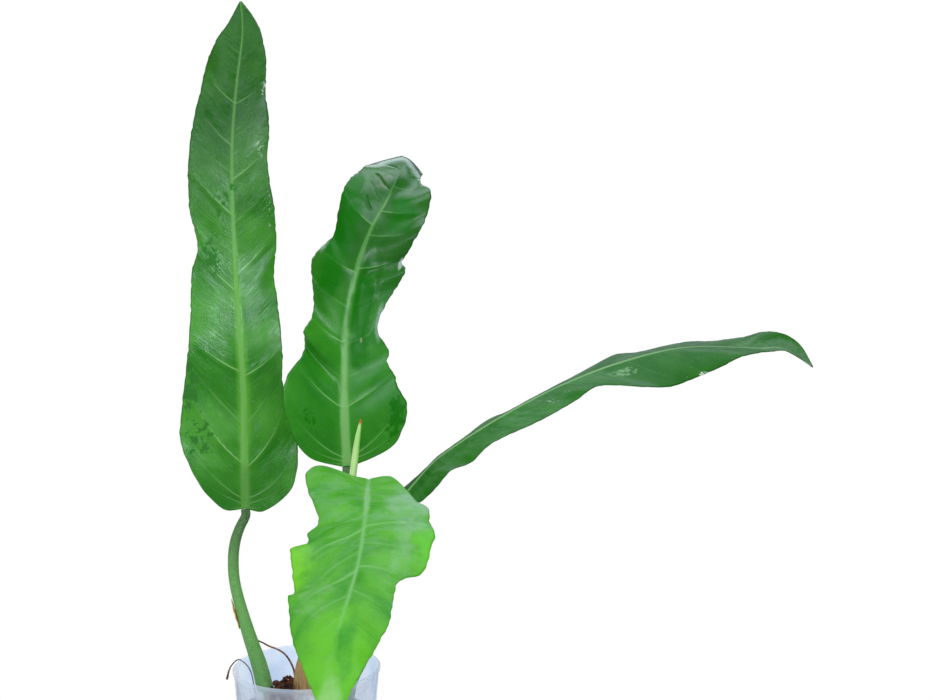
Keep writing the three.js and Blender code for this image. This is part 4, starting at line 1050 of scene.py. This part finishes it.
front_rib = (2.3, 3.6)
front_blade, bend = blade(
    "leaf_blade_front",
    midrib=[[45, -28, 230], [45.5, -55, 219], [45.5, -80, 207], [44, -107, 192], [40.5, -130, 179],
            [37, -152, 167], [36, -176, 150], [37.5, -196, 134], [38, -206, 124]],
    face=[[0, -0.4, 1], [0, -0.4, 1], [0, -0.5, 1], [0, -0.6, 1], [0, -0.8, 1]],
    crease=0.3,
    rib=front_rib,
    rows=[
        [0, -2, -4, 0, -2, 4, 0],
        [3, -4, -10, 0, -5, 14, 1],
        [6, -2, -16, 0, -11, 26, 3],
        [10, 8, -23, -1, -11, 35, 4],
        [16, 21, -31, -3, -2, 41, 4],
        [24, 30, -39, -3, 11, 39, 1],
        [34, 41, -40, -5, 27, 33.5, -2],
        [45, 54, -43.7, -4, 45, 29, -3],
        [54, 69, -42, -2, 56, 34.5, -3],
        [62, 80, -41, -3, 67, 33.5, -2],
        [70, 89, -37.3, -3, 76, 41.2, 1.8],
        [78, 93.5, -30.5, -1, 86, 40.5, 2],
        [88, 99, -25.3, -1, 100, 36.8, -1],
        [98, 113, -26.3, 1, 113, 32.5, -2],
        [107, 125, -27.5, 2, 121, 34, 2],
        [116, 136, -27.2, 1, 131, 30.3, 1],
        [126, 147, -24, 0, 144, 26.4, 1],
        [140, 158, -19, -3, 158, 20.5, 0],
        [156, 172, -14.5, 0, 172, 14, 0],
        [174, 186, -8.5, 0, 186, 8.5, 0],
        [190, 198, -4, 0, 198, 4, 0],
        [209, 209, -0.8, 0, 209, 0.8, 0],
    ],
    left_veins=[(2.5, 2.4, 0.3, 0), (3.9, 3.7, 0.3, 0), (5.3, 4.9, 0.4, 0), (7.9, 6.4, 0.9, 0.8),
                (9.8, 8.4, 0.4, 0), (12.1, 11.4, 0.9, 0.8), (14.1, 14, 0.4, 0), (16.3, 16.3, 0.3, 0),
                (18, 18, 0.2, 0)],
    right_veins=[(2.5, 2.6, 0.3, 0), (4.5, 5.4, 0.3, 0), (6.6, 8.4, 0.4, 0), (7.85, 12.3, 1, 1),
                 (10.6, 13.8, 0.4, 0), (12.2, 15.5, 0.9, 1), (14.5, 16.5, 0.4, 0),
                 (16.3, 17.3, 0.3, 0), (18, 18.3, 0.2, 0)],
    band=[1.3, 1.2, 1, 0.9, 0.9, 0.8, 0.6, 0.4, 0.3],
    puff=0.05, welts=0.3,
)
front_skin = leaf_material(
    "young leaf", deep=(0.028, 0.28, 0.01), light=(0.12, 0.5, 0.018), vein=(0.15, 0.47, 0.1),
    midrib=(0.18, 0.49, 0.16), underside=(0.2, 0.5, 0.12), vein_width=1.5, striae=0.8, patches=0.5,
    gloss=0.36, pillows=0.45, dark_rim=0, midrib_to=148, bloom=0.5, specular=0.2, silk=0.08,
    # Painted light: the three lime patches stand for light shining through the thin blade
    tints=[((92, 40, 34, 18, 90, 0.15, 0.5, 0.45), (0.17, 0.6, 0.02), 0.9),
           ((64, -44, 30, 16, 90, 0.15, 0.5, 0.45), (0.1, 0.55, 0.01), 0.9),
           ((160, 0, 46, 26, 70, 0.1, 0.5, 0.5), (0.13, 0.56, 0.012), 0.75),
           ((154, -5.5, 30, 8, 60, 0.15, 0.5, 0.45), (0.02, 0.3, 0.003), 0.85),
           # Painted highlight: a pale band down the tip
           ((190, 1, 38, 8, 60, 0.12, 0.5, 0.55), (0.32, 0.66, 0.22), 0.7),
           # Painted sheen: two pale smudges
           ((116, 18, 26, 15, 130, 0.25, 0.45, 0.5), (0.2, 0.46, 0.18), 0.5),
           ((70, -24, 30, 9, 130, 0.2, 0.45, 0.5), (0.24, 0.52, 0.24), 0.45),
           ((24, 0, 20, 3, 160, 0.15, 0.5, 0.45), (0.3, 0.56, 0.3), 0.5)],
    # The shoulder mark is a bluish bloom, painted pale also to stand in for the sheen there, with a gloss
    # coat on it
    marks=[(32, -27, 36, 26, 70, 0.22, 0.5, 0.45)], mark_colour=(0.22, 0.47, 0.25), wax=(0, 0.4))
finish_piece(front_blade, "young_leaf", "blade_front", finish=front_skin)
front_stalk = stalk(
    "leaf_stalk_front",
    joined_path([[18, -5, 82], [25, -9, 115], [32, -14, 150], [39, -20, 187], [43.5, -25, 208]], bend,
                under=2.5, depth=0.4 + front_rib[1]),
    [4.3, 4, 3.6, 3.2, 2.9, 2.6, 1.7],
    stalk_material("front leaf stalk", (0.16, 0.4, 0.09), (0.18, 0.46, 0.09), (0.2, 0.5, 0.1), 148))
finish_piece(front_stalk, "leaf_stalk", "petiole_front")


# The sheath of the next leaf
# A slim pale spike, rolled round the leaf that is still to come, with a painted highlight down
# its left side and painted shade down its right, its tip scorched orange.

spike_finish, tree, shader = new_material("young sheath", Specular_IOR_Level=0.5)
along = attribute(tree, "along")
stripes = noise(tree, vector_of(tree, product(tree, attribute(tree, "around"), 40),
                                product(tree, along, 0.04), 2.0), 1.0, 2)
# Painted light: by the way the surface faces, the left side is painted near white as a highlight and the
# right side darker green as shade
to_right = split(tree, tree.nodes.new("ShaderNodeNewGeometry").outputs["Normal"])[0]
pale = layered(tree, (0.68, 0.95, 0.45), (fade(tree, along, 130, 182), (0.45, 0.88, 0.2)),
               (fade(tree, stripes, 0.4, 0.7, 0, 0.5), (0.75, 0.95, 0.62)),
               (fade(tree, to_right, 0.1, 0.9, 0, 0.6), (0.25, 0.6, 0.1)),
               (fade(tree, to_right, -0.7, -0.92, 0, 0.8), (0.95, 1, 0.9)),
               (fade(tree, along, 184.5, 188), (0.5, 0.17, 0.03)))
dress(tree, shader, pale, fade(tree, stripes, 0.3, 0.7, 0.36, 0.5), stripes, 0.15 * MM)
spike = stalk(
    "new_leaf_sheath",
    [[5, 1, 82], [11, -2, 115], [19, -5, 152], [27, -8, 195], [33, -10, 230], [36, -11, 252],
     [38.8, -12, 267.5]],
    [3.2, 3.2, 3.2, 3.2, 3.1, 3, 2.9, 2.8, 2.6, 2.35, 2, 0.8], spike_finish, unevenness=0.1)
finish_piece(spike, "young_sheath", "cataphyll_new")


# The dried sheath and the scrap
# Papery remains of older sheaths: one still wraps the front of the crown, and a narrow strip
# peels off the tall leaf's stalk. Tan, brittle and streaked with brown.

def papery(name, points, thickness):
    """A sheet round a grid of middle points, in mm."""
    offset = sheet_normal(points) * thickness / 2
    return closed_sheet(name, points + offset, points - offset)


sheath_finish, tree, shader = new_material("dried sheath", Specular_IOR_Level=0.35)
where = object_point(tree)
veins = noise(tree, stretched(tree, where, (1, 1, 0.08)), 900, 3, 0.6)
blots = noise(tree, where, 160, 3, 0.6)
# The brown streaks grow heavier and darker towards the foot
low = fade(tree, split(tree, where)[2], 96 * MM, 86 * MM)
streaked_brown = product(tree, fade(tree, total(tree, veins, product(tree, blots, 0.5)), 0.72, 0.86),
                  total(tree, product(tree, low, 0.5), 0.15))
tan = layered(tree, (0.42, 0.27, 0.105), (fade(tree, veins, 0.25, 0.75), (0.58, 0.4, 0.19)),
              (streaked_brown, (0.1, 0.04, 0.015)))
dress(tree, shader, tan, fade(tree, blots, 0.3, 0.7, 0.55, 0.85), veins, 0.2 * MM)

sheath_foot = 66
sheath_height = 48
sheath_from = math.radians(-168)
sheath_to = math.radians(-62)
rise, share = np.meshgrid(np.linspace(0, 1, 44), np.linspace(0, 1, 40), indexing="ij")
width = 1 - 0.86 * rise ** 3
radius = 15.3 - 3 * rise ** 2 + 0.7 * np.sin(9 * share) * rise + 0.25 * np.sin(41 * share + 3 * rise)
turn = (sheath_from + sheath_to) / 2 + (2 * share - 1) * (sheath_to - sheath_from) / 2 * width
dried = papery("dried_sheath", np.stack([
    6 + radius * np.cos(turn), -1 + radius * np.sin(turn), sheath_foot + sheath_height * rise], -1), 0.5)
finish_piece(dried, "dried_sheath", "cataphyll_dried", finish=sheath_finish)

scrap_finish, tree, shader = new_material("dried scrap", Specular_IOR_Level=0.4)
streaks = noise(tree, stretched(tree, object_point(tree), (1, 1, 0.1)), 1100, 3, 0.6)
rusty = mixed(tree, fade(tree, streaks, 0.3, 0.7), (0.75, 0.34, 0.08), (0.98, 0.62, 0.24))
dress(tree, shader, rusty, fade(tree, streaks, 0.3, 0.7, 0.5, 0.8), streaks, 0.2 * MM)

scrap_from = 0.44
scrap_length = 0.14
scrap_gap = 0.75
scrap_peel = 1.3
places = even_places(tall_path, 501)[0]
rise = np.linspace(0, 1, 40)
stalk_share = scrap_from + scrap_length * rise
centres = smooth_line(tall_path, np.interp(stalk_share, np.linspace(0, 1, len(places)), places))
thick_at = smooth_line([[radius] for radius in tall_radii], stalk_share * (len(tall_radii) - 1))[:, 0]
bow = np.sin(math.pi * np.minimum(1, 0.1 + 0.9 * rise))
reach = thick_at + scrap_gap + scrap_peel * bow * rise + 0.15 * np.sin(22 * rise)
turn = math.pi * 1.02 + np.linspace(-0.5, 0.5, 12) * 1.1 * (0.25 + 0.75 * bow[:, None])
scrap = papery("sheath_scrap_strip", np.stack([
    centres[:, :1] + reach[:, None] * np.cos(turn), centres[:, 1:2] + reach[:, None] * np.sin(turn),
    centres[:, 2:] + 0 * turn], -1), 0.4)
finish_piece(scrap, "dried_sheath", "sheath_scrap", finish=scrap_finish)


# Aerial roots
# Two wiry roots that dried in the open: one strung from the tall leaf's stalk down to the stem,
# one that climbed out over the rim. Brown, knotty and slightly shiny.

def root_material(name, knots, dark, light):
    material, tree, shader = new_material(name, Specular_IOR_Level=0.45)
    mottle = noise(tree, object_point(tree), knots, 3, 0.6)
    brown = mixed(tree, fade(tree, mottle, 0.35, 0.68), dark, light)
    dress(tree, shader, brown, fade(tree, mottle, 0.3, 0.7, 0.4, 0.7), mottle, 0.12 * MM)
    return material


inner_root = stalk(
    "inner_aerial_root",
    [[-35.8, 13.8, 110.5], [-31, 9, 110], [-26, 4, 109.2], [-20, 1, 108], [-14.5, 2, 103.5],
     [-10, 3.5, 94.5], [-8.5, 4, 84], [-8.5, 4, 66]],
    [0.5, 0.6, 0.6, 0.65, 0.7, 0.75, 0.8, 0.8],
    root_material("aerial root", 500, (0.12, 0.045, 0.03), (0.42, 0.2, 0.12)),
    points=120, sides=12, unevenness=0.25, lump_size=400.0)
finish_piece(inner_root, "root", "aerial_root_inner")
rim_root = stalk(
    "rim_aerial_root",
    [[-28, -30, 58], [-29.5, -30, 78], [-32, -29.5, 97], [-35, -27.5, 104.5], [-40.3, -24, 108.2],
     [-43.8, -19.5, 107.2], [-47.3, -15.5, 103.7], [-50.6, -12, 98.5], [-52.8, -10, 91]],
    [0.6, 0.5, 0.4, 0.4, 0.4, 0.4, 0.4, 0.5, 0.8],
    root_material("dry root", 450, (0.06, 0.04, 0.045), (0.2, 0.16, 0.17)),
    points=120, sides=12, unevenness=0.2, lump_size=400.0)
finish_piece(rim_root, "root", "aerial_root_rim")


# The studio
# A white floor that fades out into a white surround, lit by soft boxes in front, at the side and
# above. Others show only in the gloss, and away from them the room is dim, so that shiny leaves
# keep their deep green.

floor_reach = 6.0
floor_mesh = bpy.data.meshes.new("floor")
floor_mesh.from_pydata([(-floor_reach, -floor_reach, 0), (floor_reach, -floor_reach, 0),
                        (floor_reach, floor_reach, 0), (-floor_reach, floor_reach, 0)], [], [(0, 1, 2, 3)])
floor = add_object("floor", floor_mesh)
floor_finish, tree, shader = new_material("white floor", Base_Color=(0.9, 0.9, 0.9, 1), Roughness=0.95,
                                          Specular_IOR_Level=0.0)
x, y, _ = split(tree, object_point(tree))
outward = fade(tree, distance_of(tree, x, y), 0.07, 0.2)
bright, dim = (place(tree, "ShaderNodeEmission", {"Color": (1, 1, 1, 1), "Strength": strength}).outputs[0]
               for strength in (1.0, 0.2))
rays = tree.nodes.new("ShaderNodeLightPath").outputs
faded = place(tree, "ShaderNodeMixShader", {
    0: product(tree, rays["Is Camera Ray"], outward), 1: shader.outputs[0], 2: bright,
}).outputs[0]
mirrored = place(tree, "ShaderNodeMixShader", {0: rays["Is Glossy Ray"], 1: faded, 2: dim}).outputs[0]
tree.links.new(mirrored, tree.nodes["Material Output"].inputs["Surface"])
floor_mesh.materials.append(floor_finish)


def soft_light(name, location, aim, size, radiance, in_gloss=True):
    """A soft box of a given brightness, aimed at a point. It only shows in the gloss of what it
    faces, or only lights it."""
    lamp = bpy.data.lights.new(name, "AREA")
    lamp.shape = "RECTANGLE"
    lamp.size, lamp.size_y = size
    lamp.energy = math.pi * size[0] * size[1] * radiance
    lamp.color = (0.9, 0.97, 1.15) if in_gloss else (1, 1, 1)
    holder = add_object(name, lamp)
    holder.location = location
    away = np.array(location) - np.array(aim)
    holder.rotation_euler = (math.acos(away[2] / np.linalg.norm(away)), 0,
                             math.atan2(away[1], away[0]) + math.pi / 2)
    holder.visible_glossy = in_gloss
    holder.visible_diffuse = not in_gloss


soft_light("key light", (-0.35, -0.95, 1.5), (0.0, 0, 0.3), (1.1, 0.8), 3.8, in_gloss=False)
soft_light("fill light", (1.3, -0.7, 0.6), (0.05, 0, 0.3), (0.5, 0.9), 1.6, in_gloss=False)
soft_light("top light", (0.1, 0.15, 1.5), (0.05, 0, 0.3), (1.2, 0.8), 1.3, in_gloss=False)
soft_light("left strip", (-0.69, -1.2, 0.7), (-0.04, 0, 0.36), (0.36, 0.16), 7.5)
soft_light("middle strip", (-0.07, -1.2, 0.71), (-0.04, 0, 0.36), (0.32, 0.15), 10.0)
soft_light("small box", (0.06, -1.2, 0.52), (0.045, 0, 0.3), (0.26, 0.14), 3.0)
soft_light("upper left box", (-0.75, -0.88, 1.02), (-0.05, 0.04, 0.48), (0.2, 0.2), 3.6)
soft_light("back box", (0.2, 0.86, 1.12), (0.1, 0, 0.25), (0.95, 0.42), 2.6)
soft_light("high box", (-0.06, -0.42, 1.2), (0.06, 0.03, 0.41), (0.42, 0.34), 3.2)
soft_light("rim box", (0.25, 1.5, 0.62), (0.1, 0, 0.33), (1.7, 0.4), 0.6)
soft_light("ceiling box", (0.05, 0.2, 1.3), (0.05, 0.05, 0.4), (0.8, 0.5), 2.8)

world = bpy.data.worlds.new("white surround")
bpy.context.scene.world = world
world.use_nodes = True
sky = world.node_tree
sky.nodes.clear()
rays = sky.nodes.new("ShaderNodeLightPath").outputs
glow = calc(sky, "MULTIPLY_ADD", rays["Is Glossy Ray"], -0.5, 0.55)
glow = calc(sky, "MAXIMUM", glow, rays["Is Camera Ray"])
surround = place(sky, "ShaderNodeBackground", {"Color": (1, 1, 1, 1), "Strength": glow})
place(sky, "ShaderNodeOutputWorld", {0: surround.outputs[0]})
bpy.context.scene.view_settings.view_transform = "Standard"

photo_width = 933
focal_pixels = 1300
view = bpy.data.cameras.new("photograph view")
view.sensor_width = 36
view.lens = focal_pixels / photo_width * view.sensor_width
camera = add_object("photograph view", view)
camera.location = (0.10875, -0.86757, 0.378)
camera.rotation_euler = (math.radians(85.7), 0, 0)
bpy.context.scene.camera = camera
